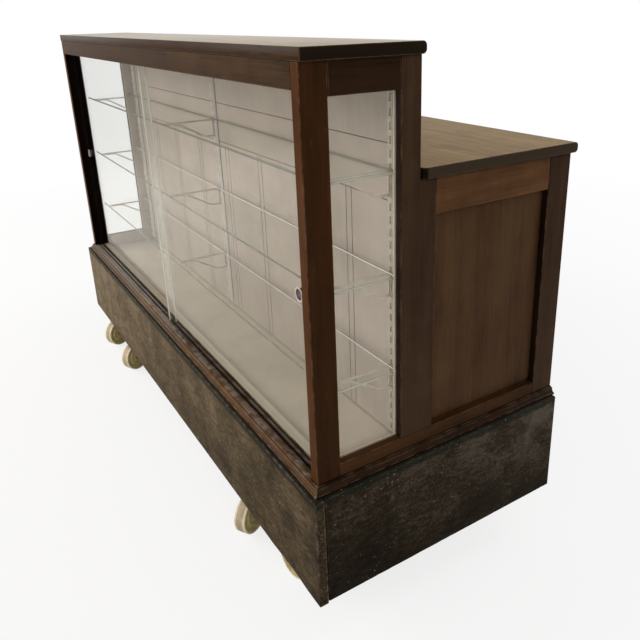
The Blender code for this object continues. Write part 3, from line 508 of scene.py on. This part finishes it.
def shelf_edges(tree):
    """A shelf's edges: green in front; pale at the ends, a painted light; dark behind, a painted shade, over a bright
    line on the two low shelves, a painted highlight.
    """
    height = add(tree, "Math", [place_on(tree, UPRIGHT), SHELF_LOW], operation="SUBTRACT")
    above = add(tree, "Math", [height, SHELF_RISE], operation="MODULO")
    line = all_of(tree, within(tree, above, -NEAR, 0.0026), within(tree, height, -NEAR, 1.5 * SHELF_RISE))
    behind = all_of(tree, within(tree, place_on(tree, ACROSS), SHELF_BACK - NEAR, SHELF_BACK + NEAR),
                    facing(tree, ACROSS))
    # Painted light at the ends, and painted shade behind with a painted highlight line on the two low shelves.
    colour = layered(tree, "#66675d", (facing(tree, ALONG), "#a5a597"),
                     (behind, layered(tree, "#6f695e", (line, "#ddd8cd"))))
    return colour, add(tree, "Math", [outside(tree), behind], operation="MAXIMUM")


def old_metal(name, clean, dull, rust, roughness, metallic=1.0, rusting=0.5):
    """Metal that has dulled and spotted with age."""
    made, tree = new_material(name)
    cloud = add(tree, "MapRange", [spots(tree, 16, detail=5.0, roughness=0.6), 0.35, 0.65])
    bloom = spots(tree, 24, detail=6.0, roughness=0.65)
    corroded = add(tree, "MapRange", [bloom, 0.72 - 0.3 * rusting, 0.80 - 0.25 * rusting])
    colour = layered(tree, clean, (cloud, dull), (corroded, rust))
    metal = add(tree, "MapRange", [corroded, 0.0, 1.0, metallic, metallic * 0.3])
    shine = add(tree, "MapRange", [cloud, 0.0, 1.0, roughness, roughness + 0.18])
    relief = add(tree, "Bump", {"Height": spots(tree, 3, detail=3.0), "Distance": 0.00015})
    add(tree, "OutputMaterial", [add(tree, "BsdfPrincipled", {"Base Color": colour, "Metallic": metal,
                                                              "Roughness": shine, "Normal": relief})])
    return made


def shelf_strip(name):
    """Enamelled steel strip brushed over in the wall's cream; its sides painted near white and its brackets, duller
    than the sides, lighter than the wall's paint: both painted light.
    """
    made, tree = new_material(name)
    cloud = add(tree, "MapRange", [spots(tree, 30, detail=4.0, roughness=0.6), 0.35, 0.65])
    # Painted light: the strip's sides near white, and its brackets lighter than the wall's paint.
    side = add(tree, "MapRange", [facing(tree, ALONG), 0.4, 0.6])
    bracket = add(tree, "Math", [place_on(tree, ACROSS), STRIP_FACE], operation="LESS_THAN")
    colour = layered(tree, "#aca193", (cloud, "#a0968a"), (side, "#f3efe8"),
                     (bracket, layered(tree, "#c4b9ab", (cloud, "#aca193"))))
    shine = add(tree, "MapRange", [cloud, 0.0, 1.0, 0.38, 0.55])
    relief = add(tree, "Bump", {"Height": spots(tree, 4, detail=3.0), "Distance": 0.0001})
    add(tree, "OutputMaterial", [add(tree, "BsdfPrincipled", {"Base Color": colour, "Roughness": shine,
                                                              "Specular IOR Level": 0.3, "Normal": relief})])
    return made


def rubber(name, clean, grimy_and_shaded):
    """Cream rubber, yellowed and soiled from the floor: soft satin with dull scuffs."""
    made, tree = new_material(name)
    dirt_and_shade = blended(tree, (spots(tree, 20, detail=5.0, roughness=0.6), 0.6),
                   (spots(tree, 3, detail=3.0, roughness=0.6), 0.4))
    colour = layered(tree, clean, (add(tree, "MapRange", [dirt_and_shade, 0.38, 0.66]), grimy_and_shaded))
    shine = add(tree, "MapRange", [dirt_and_shade, 0.3, 0.7, 0.45, 0.7])
    relief = add(tree, "Bump", {"Height": dirt_and_shade, "Distance": 0.0003})
    add(tree, "OutputMaterial", [add(tree, "BsdfPrincipled", {"Base Color": colour, "Roughness": shine,
                                                              "Specular IOR Level": 0.35, "Normal": relief})])
    return made


def studio_floor(name):
    """A pale matt floor that keeps the object's shadow and fades into the white backdrop."""
    made, tree = new_material(name)
    away = add(tree, "VectorMath", [add(tree, "TexCoord", output="Object")], "Value", operation="LENGTH")
    fading = add(tree, "MapRange", [away, FLOOR_FADE_START, FLOOR_FADE_END, 0.78, 1.0])
    share = all_of(tree, fading, add(tree, "LightPath", output="Is Camera Ray"))
    matt = add(tree, "BsdfDiffuse", {"Color": "#f0f0ee"})
    white = add(tree, "Emission", {"Color": WHITE, "Strength": 1.0})
    add(tree, "OutputMaterial", [add(tree, "MixShader", [share, matt, white])])
    return made


def dress(material, *nodes):
    """Gives CAD nodes a material."""
    for name in nodes:
        for slot in NODES[name].material_slots:
            slot.link = "OBJECT"
            slot.material = material


def both(*words):
    """Names of the same member at the left and right ends."""
    return [f"{word}_{side}" for word in words for side in ("left", "right")]


def box_shape(low, high):
    """A box between two corners."""
    shape = bmesh.new()
    bmesh.ops.create_cube(shape, size=1.0)
    bmesh.ops.scale(shape, vec=high - low, verts=shape.verts)
    bmesh.ops.translate(shape, vec=(low + high) / 2, verts=shape.verts)
    return shape


def round_edges(shape, chosen, radius, segments):
    """Rounds the edges that a test picks."""
    bmesh.ops.bevel(shape, geom=[edge for edge in shape.edges if chosen(edge)], offset=radius, affect="EDGES",
                    segments=segments, profile=0.5, material=-1, clamp_overlap=True)


def piece(name, shape, look, body, stands_for=(), smooth=40):
    """Finishes a bmesh as a piece of the object: its mesh, its looks, and the body that it rides on."""
    bmesh.ops.recalc_face_normals(shape, faces=shape.faces)
    mesh = bpy.data.meshes.new(name)
    shape.to_mesh(mesh)
    shape.free()
    mesh.shade_smooth()
    mesh.set_sharp_from_angle(angle=radians(smooth))
    for material in look if isinstance(look, tuple) else (look,):
        mesh.materials.append(material)
    made = bpy.data.objects.new(name, mesh)
    bpy.context.scene.collection.objects.link(made)
    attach(made, body)
    if stands_for:
        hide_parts(*stands_for)
    return made


def spun(profile, steps, closed):
    """A turned shape about its own Z axis, from a profile of radius and place along the axis."""
    shape = bmesh.new()
    points = [shape.verts.new((radius, 0, along)) for radius, along in profile]
    pairs = list(zip(points, points[1:])) + ([(points[-1], points[0])] if closed else [])
    edges = [shape.edges.new(pair) for pair in pairs]
    bmesh.ops.spin(shape, geom=points + edges, cent=(0, 0, 0), axis=(0, 0, 1), dvec=(0, 0, 0), angle=2 * pi,
                   steps=steps, use_merge=True, use_duplicate=False)
    bmesh.ops.remove_doubles(shape, verts=shape.verts, dist=0.00001)
    return shape


def arc(centre, radius, start, end, steps):
    """Points on an arc, from one angle in degrees to another."""
    turns = [radians(start + (end - start) * step / steps) for step in range(steps + 1)]
    return [(centre[0] + radius * cos(turn), centre[1] + radius * sin(turn)) for turn in turns]


def join(shape, other):
    """Adds another bmesh's shape to one, and frees it."""
    mesh = bpy.data.meshes.new("joined")
    other.to_mesh(mesh)
    other.free()
    shape.from_mesh(mesh)
    bpy.data.meshes.remove(mesh)


def make_materials():
    """Every finish of the case, by name."""
    looks = {}
    cream = "#c0b3a4"
    looks["header"] = varnished_wood("stained_pine_header", ALONG, ("#24150a", "#362311", "#4b321a"), specular=0.025)
    # The sill's and moulding's pale edges, wider and stronger to the left, are partly wear and partly a painted
    # highlight; the moulding's grooves get more painted shade.
    looks["sill"] = varnished_wood("stained_pine_sill", ALONG, ("#33210f", "#543b22", "#6e5131"), rub_and_highlight="#c6c0b6",
                                   wear=0.0035, lining="#b9ae9c", start=SILL_PAINT, specular=0.05, left=0.35)
    looks["moulding"] = varnished_wood("stained_pine_moulding", ALONG, ("#35200e", "#57391c", "#755433"),
                                       rub_and_highlight="#a89e90", wear=0.003, dirt_and_shade=(0.88, 0.45), specular=0.05, left=0.4)
    # Posts: the lighter front faces are painted light, and the near-black faces inside the display are painted shade.
    looks["post"] = varnished_wood("stained_pine_post", UPRIGHT, ("#231407", "#311d0e", "#3f2613"),
                                   front=("#351d0a", "#46270d", "#573314"), rub_and_highlight="#8a6e58", lining="#0a0402",
                                   start=-NEAR, specular=0.02)
    looks["window_rail"] = varnished_wood("stained_pine_window_rail", ACROSS, ("#1a0f06", "#28190d", "#342113"),
                                          lining=cream)
    looks["panel_rail"] = varnished_wood("stained_pine_panel_rail", ACROSS, ("#3a2617", "#533823", "#66492f"))
    looks["bottom_rail"] = varnished_wood("stained_pine_bottom_rail", ACROSS, ("#25150a", "#382312", "#482f19"),
                                          lining=cream, reach=REVEAL_X, dirt_and_shade=(0.50, 0.10))
    looks["moulding_end"] = varnished_wood("stained_pine_moulding_end", ACROSS, ("#190f07", "#2a1b0f", "#3d2a19"),
                                           rub_and_highlight="#7a6650", wear=0.003, dirt_and_shade=(0.92, 0.55), specular=0.04)
    # Stiles: the darker tones on the faces that look to the front, the reveals, are painted shade.
    looks["stile"] = varnished_wood("stained_pine_stile", UPRIGHT, ("#281a0f", "#36261a", "#433121"),
                                    front=("#120a05", "#1c1109", "#281a0f"), lining=cream, reach=REVEAL_X)
    looks["panel"] = varnished_wood("stained_pine_panel", UPRIGHT, ("#352415", "#44301f", "#4f3a25"), rub_and_highlight="#6b563f",
                                    knot_gap=80)
    looks["rear_rail"] = varnished_wood("stained_pine_rear_rail", ALONG, ("#241408", "#33200f", "#402a1a"))
    # The upper top's pale tones are partly worn bare wood and partly a painted sheen.
    looks["upper"] = counter_top("worn_varnished_top_upper", ("#8e7f67", "#b2a388", "#c5b79e"),
                                 rims=("#2b1a0c", "#3a2410", "#1a120b"), roughness=0.30, specular=0.13,
                                 far=(0.6, "#7a6c56"))
    looks["lower"] = counter_top("worn_varnished_top_lower", ("#6b5132", "#8c714a", "#a4895f"),
                                 rims=("#0a0603", "#120a05", "#342a20"), roughness=0.42, specular=0.06,
                                 far=(0.2, "#6b5132"))
    # The front board gets paler to the left, partly a painted light from the left.
    looks["kick_front"] = scuffed_board("mopped_plinth_board_front", ALONG, ("#1f170e", "#4b3e2b", "#786951"),
                                        fade=-0.05, rise=0.02, grey="#665c4c", rub_and_highlight="#8b8171")
    looks["kick_end"] = scuffed_board("mopped_plinth_board_end", ACROSS, ("#0f0a04", "#231c11", "#493f34"),
                                      fade=0.035, rise=0.06, grey="#56514a", rub_and_highlight="#4f4838")
    looks["wall_paint"] = painted_board("cream_oil_paint_wall", ("#8b8074", "#9d9185", "#ab9f92"))
    looks["floor_paint"] = painted_board("cream_oil_paint_floor", ("#a89d8b", "#bbb09e", "#cabfad"))
    looks["bare_pine"] = bare_wood("bare_pine", ALONG)
    looks["pane"] = float_glass("float_glass_door", ACROSS, mirror=0.4, edges=door_edges)
    looks["window"] = float_glass("float_glass_window", ALONG, mirror=1.0, edges=window_edges)
    looks["shelf"] = float_glass("float_glass_shelf", UPRIGHT, mirror=0.2, edges=shelf_edges)
    looks["strip"] = shelf_strip("enamelled_steel_strip")
    looks["nickel"] = old_metal("nickelled_brass", "#cfc2b6", "#a89b91", "#8d827c", roughness=0.25, metallic=0.7,
                                rusting=0.1)
    looks["cup"] = old_metal("tarnished_brass_cup", "#9c9093", "#71676a", "#4e4546", roughness=0.40, metallic=0.5,
                             rusting=0.2)
    looks["disc"] = old_metal("yellowed_zinc_disc", "#b0a06c", "#8f8253", "#8a6a44", roughness=0.45, metallic=0.15,
                              rusting=0.3)
    looks["fork"] = old_metal("pressed_steel", "#7d776c", "#59544b", "#6e4a2c", roughness=0.42, metallic=0.9,
                              rusting=0.4)
    looks["nail"] = old_metal("iron_nail", "#4a443c", "#2e2a25", "#5a3a24", roughness=0.55, metallic=0.8, rusting=0.6)
    looks["tyre_tread"] = rubber("cream_rubber_tread", "#b9a789", "#8f7f62")
    looks["tyre_wall"] = rubber("cream_rubber_wall", "#e6dac6", "#c3b394")
    return looks


def dress_frame(looks):
    """Finishes of the pieces whose shape stays as packed."""
    dress(looks["header"], "front_header")
    dress(looks["sill"], "front_sill")
    dress(looks["post"], *both("front_post"))
    dress(looks["stile"], *both("middle_stile", "rear_stile"), "rear_mullion")
    dress(looks["window_rail"], *both("window_rail"))
    dress(looks["panel_rail"], *both("panel_rail"))
    dress(looks["bottom_rail"], *both("bottom_rail"))
    dress(looks["panel"], *both("end_panel"))
    dress(looks["rear_rail"], "rear_rail")
    dress(looks["wall_paint"], "display_back")
    dress(looks["floor_paint"], "bottom_board")
    dress(looks["bare_pine"], "storage_shelf", "caster_bearer_front", "caster_bearer_back")
    dress(looks["window"], *both("end_glass"))
    dress(looks["pane"], "sliding_pane_front", "sliding_pane_rear")
    dress(looks["shelf"], "glass_shelf_low", "glass_shelf_middle", "glass_shelf_high")
    dress(looks["strip"], "shelf_standard_left", "shelf_standard_middle", "shelf_standard_right")


def make_slab(name, node, look, corner):
    """A top slab: its back edge rounded, and its front corners too where they stand clear of the tall part."""
    low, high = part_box(node)
    thick = high.z - low.z
    shape = box_shape(low, high)

    def upright(edge):
        return abs(edge.verts[0].co.z - edge.verts[1].co.z) > thick / 2

    if corner:
        round_edges(shape, lambda edge: upright(edge) and edge.verts[0].co.y < low.y + NEAR, corner, 12)
    round_edges(shape, lambda edge: not upright(edge) and min(vert.co.y for vert in edge.verts) > high.y - NEAR,
                SLAB_BACK_ROUND, 10)
    round_edges(shape, lambda edge: edge.is_manifold and edge.calc_face_angle() > pi / 3, ARRIS, 3)
    piece(name, shape, look, "case", (node,))


def make_slabs(looks):
    """Both tops."""
    make_slab("upper_slab", "upper_top", looks["upper"], 0)
    make_slab("lower_slab", "lower_top", looks["lower"], LOWER_CORNER_ROUND)


def make_worn_board(name, node, look, length, seed, bitten=()):
    """A plinth board whose edges have worn in; bitten lists a place along it, a reach and a depth."""
    low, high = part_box(node)
    shape = box_shape(low, high)
    round_edges(shape, lambda edge: True, BOARD_ARRIS, 3)
    for axis in (length, UPRIGHT):
        direction = Vector([float(place == axis) for place in range(3)])
        cuts = int((high[axis] - low[axis]) / CELL)
        for cut in range(1, cuts):
            level = low[axis] + (high[axis] - low[axis]) * cut / cuts
            bmesh.ops.bisect_plane(shape, geom=shape.verts[:] + shape.edges[:] + shape.faces[:], dist=0.00001,
                                   plane_co=direction * level, plane_no=direction)
    for vert in shape.verts:
        along = vert.co[length]
        rough = max(0.0, noise.noise(Vector((along * WEAR_ALONG, seed, vert.co.z * WEAR_UP))))
        below = max(0.0, 1 - (vert.co.z - low.z) / WEAR_REACH)
        above = max(0.0, 1 - (high.z - vert.co.z) / WEAR_REACH)
        wear = FOOT_WEAR * rough
        for middle, reach, depth in bitten:
            wear += depth * max(0.0, 1 - ((along - middle) / reach) ** 2)
        vert.co.z += below * wear - above * TOP_WEAR * rough
    piece(name, shape, look, "case", (node,), smooth=50)


def make_plinth(looks):
    """The four plinth boards."""
    make_worn_board("plinth_board_front", "kick_board_front", looks["kick_front"], ALONG, 1.0, (BITE,))
    make_worn_board("plinth_board_left", "kick_board_left", looks["kick_end"], ACROSS, 5.0)
    make_worn_board("plinth_board_right", "kick_board_right", looks["kick_end"], ACROSS, 9.0)
    make_worn_board("plinth_board_back", "kick_board_back", looks["kick_end"], ALONG, 13.0)


def make_nails(looks):
    """Old nail heads, a little proud of the front plinth board."""
    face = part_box("kick_board_front")[0].y
    profile = [(0, NAIL_PROUD)] + arc((NAIL_RADIUS - 0.0006, NAIL_PROUD - 0.0006), 0.0006, 80, 0, 5)
    profile += [(NAIL_RADIUS, -NAIL_DEPTH), (0, -NAIL_DEPTH)]
    heads = bmesh.new()
    for along, low, high in NAILS:
        for level in (low, high):
            head = spun(profile, 24, False)
            where = Matrix.Translation((along, face, level)) @ Matrix.Rotation(pi / 2, 4, "X")
            bmesh.ops.transform(head, matrix=where, verts=head.verts)
            join(heads, head)
    piece("plinth_nails", heads, looks["nail"], "case")


def moulding_profile():
    """Out from the case and up: a square foot, a cove and a bead under a small step."""
    toe = MOULDING_FOOT - FOOT_ROUND
    outline = [(0.0, 0.0), (toe, 0.0)] + arc((toe, FOOT_ROUND), FOOT_ROUND, -90, 0, 3)
    outline += [(MOULDING_FOOT, FOOT_TOP)] + arc((MOULDING_FOOT, COVE_LEVEL), COVE_RADIUS, -90, -176, 8)
    outline += arc(BEAD_MIDDLE, BEAD_RADIUS, -70, 100, 8)
    return outline + [(0.0030, 0.0160), (STEP, 0.0165), (STEP, MOULDING_HEIGHT), (0.0, MOULDING_HEIGHT)]


def make_moulding(name, node, turn, look):
    """A run of base moulding; where it meets another its end slants out with the profile."""
    low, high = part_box(node)
    front = node.endswith("front")
    shape = bmesh.new()
    points = [shape.verts.new((out, up, 0)) for out, up in moulding_profile()]
    edges = [shape.edges.new(pair) for pair in zip(points, points[1:] + points[:1])]
    far = bmesh.ops.extrude_edge_only(shape, edges=edges)["geom"]
    ends = [item for item in far if isinstance(item, bmesh.types.BMVert)]
    length = (RIGHT_END - LEFT_END) if front else high.y - FACE
    bmesh.ops.translate(shape, vec=(0, 0, length), verts=ends)
    bmesh.ops.holes_fill(shape, edges=[edge for edge in shape.edges if edge.is_boundary], sides=0)
    for vert in shape.verts:
        if vert.co.z > length / 2:
            vert.co.z += vert.co.x if front else 0
        else:
            vert.co.z -= vert.co.x
    bmesh.ops.transform(shape, matrix=turn, verts=shape.verts)
    piece(name, shape, look, "case", (node,), smooth=35)


def make_mouldings(looks):
    """Base moulding round three sides."""
    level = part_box("base_moulding_front")[0].z
    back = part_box("base_moulding_front")[1].y
    front = Matrix(((0, 0, 1, LEFT_END), (-1, 0, 0, back), (0, 1, 0, level), (0, 0, 0, 1)))
    make_moulding("foot_moulding_front", "base_moulding_front", front, looks["moulding"])
    for side, word in ((-1, "left"), (1, "right")):
        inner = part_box(f"base_moulding_{word}")[0 if side > 0 else 1].x
        end = Matrix(((side, 0, 0, inner), (0, 0, 1, FACE), (0, 1, 0, level), (0, 0, 0, 1)))
        make_moulding(f"foot_moulding_{word}", f"base_moulding_{word}", end, looks["moulding_end"])


def with_mirror(profile):
    """A half profile of a wheel, and back along its other side."""
    return profile + [(radius, -along) for radius, along in reversed(profile)]


def make_wheel(word, looks):
    """Tyre, dished disc and hub of one caster wheel."""
    joint = JOINTS["spin_" + word]
    turn = Vector((0, 0, 1)).rotation_difference(Vector(joint["axis"]).normalized())
    where = Matrix.Translation(joint["pos_m"]) @ turn.to_matrix().to_4x4()
    node = "caster_wheel_" + word

    def mount(name, shape, look):
        bmesh.ops.transform(shape, matrix=where, verts=shape.verts)
        piece(f"{name}_{word}", shape, look, "wheel_" + word, (node,))

    half = WHEEL_WIDTH / 2
    seat = WHEEL_RADIUS - TYRE
    shoulder = half - SHOULDER
    flank = half - TYRE_INSET
    side = [(seat, half - 0.0012)] + arc((seat + 0.0016, flank - BEAD_ROUND), BEAD_ROUND, 180, 90, 4)
    side += arc((WHEEL_RADIUS - TYRE_ROUND, flank - TYRE_ROUND), TYRE_ROUND, 90, 20, 5)
    side += [(WHEEL_RADIUS - 0.0001, shoulder), (WHEEL_RADIUS, half - 0.0085)]
    tyre = spun(with_mirror(side), 72, True)
    for face in tyre.faces:
        middle = face.calc_center_median()
        face.material_index = int(abs(middle.z) < shoulder and hypot(middle.x, middle.y) > seat + 0.002)
    mount("tyre", tyre, (looks["tyre_wall"], looks["tyre_tread"]))

    bore = AXLE_RADIUS + AXLE_PLAY
    face = [(bore, 0.002), (HUB_RADIUS - 0.001, half - 0.0020), (HUB_RADIUS + 0.004, half - 0.0044)]
    face += arc((RIB_RADIUS, half - 0.0060), RIB_ROUND, 150, 30, 6) + [(0.035, half - 0.0052), (0.039, half - 0.0040)]
    face += arc((seat - 0.0022, half - 0.0030), RIM_ROUND, 120, 0, 5)
    mount("disc", spun(with_mirror(face), 64, True), looks["disc"])

    rim = [(bore, half + HUB_PROUD)] + arc((HUB_RADIUS - 0.0025, half), HUB_ROUND, 90, 0, 3)
    hub = spun(rim + [(HUB_RADIUS - 0.0015, half - 0.0030), (bore, half - 0.0030)], 40, True)
    other = hub.copy()
    bmesh.ops.rotate(other, cent=(0, 0, 0), matrix=Matrix.Rotation(pi, 3, "X"), verts=other.verts)
    join(hub, other)
    mount("hub", hub, looks["fork"])


def laid_disc(lead, across, radius, thick, sides):
    """A disc on a wheel's axle: how far it lies from the swivel and from the wheel's middle, and its size."""
    shape = bmesh.new()
    bmesh.ops.create_cone(shape, cap_ends=True, segments=sides, radius1=radius, radius2=radius, depth=thick)
    where = Matrix.Translation((lead, across, WHEEL_RADIUS)) @ Matrix.Rotation(pi / 2, 4, "X")
    bmesh.ops.transform(shape, matrix=where, verts=shape.verts)
    return shape


def make_fork(word, looks):
    """Swivel fork: stem and crown, two tapered legs with rounded eyes, and the axle bolt with its nut."""
    swivel = Vector(JOINTS["swivel_" + word]["pos_m"])
    wheel = Vector(JOINTS["spin_" + word]["pos_m"])
    lead = (wheel - swivel).xy.length
    heading = atan2(wheel.y - swivel.y, wheel.x - swivel.x)
    low = CROWN_TOP - CROWN_HEIGHT
    profile = [(0, CROWN_TOP + STEM_LENGTH), (STEM_RADIUS - 0.001, CROWN_TOP + STEM_LENGTH),
               (STEM_RADIUS, CROWN_TOP + STEM_LENGTH - 0.001), (STEM_RADIUS, CROWN_TOP), (CROWN_FLAT, CROWN_TOP)]
    profile += arc((CROWN_RADIUS - RACE_ROUND, CROWN_TOP - RACE_HEIGHT / 2), RACE_ROUND, 80, 0, 5)
    profile += [(CROWN_RADIUS - 0.0015, CROWN_TOP - RACE_HEIGHT), (CROWN_RADIUS, CROWN_TOP - 0.0068),
                (CROWN_RADIUS, low + 0.003), (CROWN_RADIUS - 0.003, low), (0, low)]
    fork = spun(profile, 48, False)
    eye = arc((lead, WHEEL_RADIUS), EYE_RADIUS, 20, -150, 14)
    outline = [(-LEG_WIDTH / 2, low + 0.002), (LEG_WIDTH / 2, low + 0.002)] + eye
    for side in (-1, 1):
        leg = bmesh.new()
        rim = [leg.verts.new((across, side * LEG_INSIDE, up)) for across, up in outline]
        flat = leg.faces.new(rim)
        grown = bmesh.ops.extrude_face_region(leg, geom=[flat])["geom"]
        bmesh.ops.translate(leg, vec=(0, side * LEG, 0),
                            verts=[item for item in grown if isinstance(item, bmesh.types.BMVert)])
        round_edges(leg, lambda edge: abs(edge.verts[0].co.y - edge.verts[1].co.y) < 0.0001, LEG_ROUND, 2)
        join(fork, leg)
        start = LEG_INSIDE + LEG
        for radius, thick, sides in (WASHER, NUT, BOLT_END):
            disc = laid_disc(lead, side * (start + thick / 2), radius, thick, sides)
            round_edges(disc, lambda edge: edge.is_manifold and edge.calc_face_angle() > 1.2, 0.0004, 2)
            join(fork, disc)
            start += thick
    join(fork, laid_disc(lead, 0, AXLE_RADIUS, 2 * LEG_INSIDE, 24))
    where = Matrix.Translation((swivel.x, swivel.y, 0)) @ Matrix.Rotation(heading, 4, "Z")
    bmesh.ops.transform(fork, matrix=where, verts=fork.verts)
    node = "caster_fork_" + word
    piece("swivel_fork_" + word, fork, looks["fork"], "swivel_" + word, (node,))


def make_casters(looks):
    """Eight casters, each a wheel in a swivel fork."""
    for row in ("front", "back"):
        for side in ("left_outer", "left_inner", "right_inner", "right_outer"):
            make_wheel(f"{row}_{side}", looks)
            make_fork(f"{row}_{side}", looks)


def make_pull(word, looks):
    """A pressed cup let into the pane, its flange rolled over at the front."""
    node = "finger_pull_" + word
    low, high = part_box(node)
    middle = (low + high) / 2
    depth = high.y - low.y
    inside = PULL_RADIUS - PULL_WALL
    profile = [(0, depth - PULL_WALL)]
    profile += arc((inside - PULL_ROUND, depth - PULL_WALL - PULL_ROUND), PULL_ROUND, 90, 0, 4)
    profile += arc((inside + PULL_LIP, PULL_LIP), PULL_LIP, 180, 270, 4)
    profile += arc((PULL_FLANGE - FLANGE_ROUND, FLANGE_ROUND), FLANGE_ROUND, 270, 360, 4)
    profile += [(PULL_FLANGE, FLANGE_THICK), (PULL_RADIUS, FLANGE_THICK), (PULL_RADIUS, depth - PULL_ROUND)]
    profile += arc((PULL_RADIUS - PULL_ROUND, depth - PULL_ROUND), PULL_ROUND, 0, 90, 4) + [(0, depth)]
    shape = spun(profile, 64, False)
    where = Matrix.Translation((middle.x, low.y, middle.z)) @ Matrix.Rotation(-pi / 2, 4, "X")
    for face in shape.faces:
        centre = face.calc_center_median()
        face.material_index = int(centre.z > PULL_PROUD and hypot(centre.x, centre.y) < PULL_RADIUS - 0.0005)
    bmesh.ops.transform(shape, matrix=where, verts=shape.verts)
    piece("cup_pull_" + word, shape, (looks["nickel"], looks["cup"]), word + "_door", (node,))


def aim_camera():
    """The photograph's viewpoint."""
    yaw, pitch, roll = (radians(turn) for turn in (CAMERA_YAW, CAMERA_PITCH, CAMERA_ROLL))
    ahead = Vector((sin(yaw) * cos(pitch), cos(yaw) * cos(pitch), sin(pitch)))
    level = Vector((cos(yaw), -sin(yaw), 0))
    above = level.cross(ahead)
    right = cos(roll) * level + sin(roll) * above
    up = cos(roll) * above - sin(roll) * level
    lens = bpy.data.cameras.new("camera")
    lens.sensor_width = SENSOR
    lens.lens = SENSOR * FOCAL_LENGTH / PICTURE
    lens.shift_x = (PICTURE / 2 - CENTRE[0]) / PICTURE
    lens.shift_y = (CENTRE[1] - PICTURE / 2) / PICTURE
    lens.clip_start = 0.05
    camera = bpy.data.objects.new("camera", lens)
    bpy.context.scene.collection.objects.link(camera)
    turn = Matrix((right, up, -ahead)).transposed().to_4x4()
    camera.matrix_world = Matrix.Translation(CAMERA_PLACE) @ turn
    bpy.context.scene.camera = camera


def light_studio():
    """Soft lamps over a white surround that cameras and mirrors see as plain white."""
    for name, (where, towards, size, power, colour) in LAMPS.items():
        light = bpy.data.lights.new(name, "AREA")
        light.size = size
        light.energy = power
        light.color = linear(colour)[:3]
        lamp = bpy.data.objects.new(name, light)
        bpy.context.scene.collection.objects.link(lamp)
        lamp.location = where
        lamp.rotation_euler = (Vector(towards) - Vector(where)).to_track_quat("-Z", "Y").to_euler()
    world = bpy.data.worlds.new("surround")
    bpy.context.scene.world = world
    world.use_nodes = True
    tree = world.node_tree
    tree.nodes.clear()
    seen = 0.0
    for ray in ("Is Camera Ray", "Is Glossy Ray", "Is Transmission Ray"):
        seen = add(tree, "Math", [seen, add(tree, "LightPath", output=ray)], operation="MAXIMUM")
    dim = add(tree, "Background", {"Color": WHITE, "Strength": SURROUND})
    white = add(tree, "Background", {"Color": WHITE, "Strength": 1.0})
    add(tree, "OutputWorld", [add(tree, "MixShader", [seen, dim, white])])


def lay_floor():
    """A wide disc for the case to stand on."""
    shape = bmesh.new()
    bmesh.ops.create_circle(shape, cap_ends=True, segments=96, radius=FLOOR_RADIUS)
    mesh = bpy.data.meshes.new("studio_floor")
    shape.to_mesh(mesh)
    shape.free()
    mesh.materials.append(studio_floor("studio_floor"))
    floor = bpy.data.objects.new("studio_floor", mesh)
    bpy.context.scene.collection.objects.link(floor)


bpy.context.scene.view_settings.view_transform = "Standard"
bpy.context.scene.cycles.transparent_max_bounces = GLASS_FACES
aim_camera()
light_studio()
lay_floor()
LOOKS = make_materials()
dress_frame(LOOKS)
make_slabs(LOOKS)
make_plinth(LOOKS)
make_nails(LOOKS)
make_mouldings(LOOKS)
make_casters(LOOKS)
make_pull("front", LOOKS)
make_pull("rear", LOOKS)
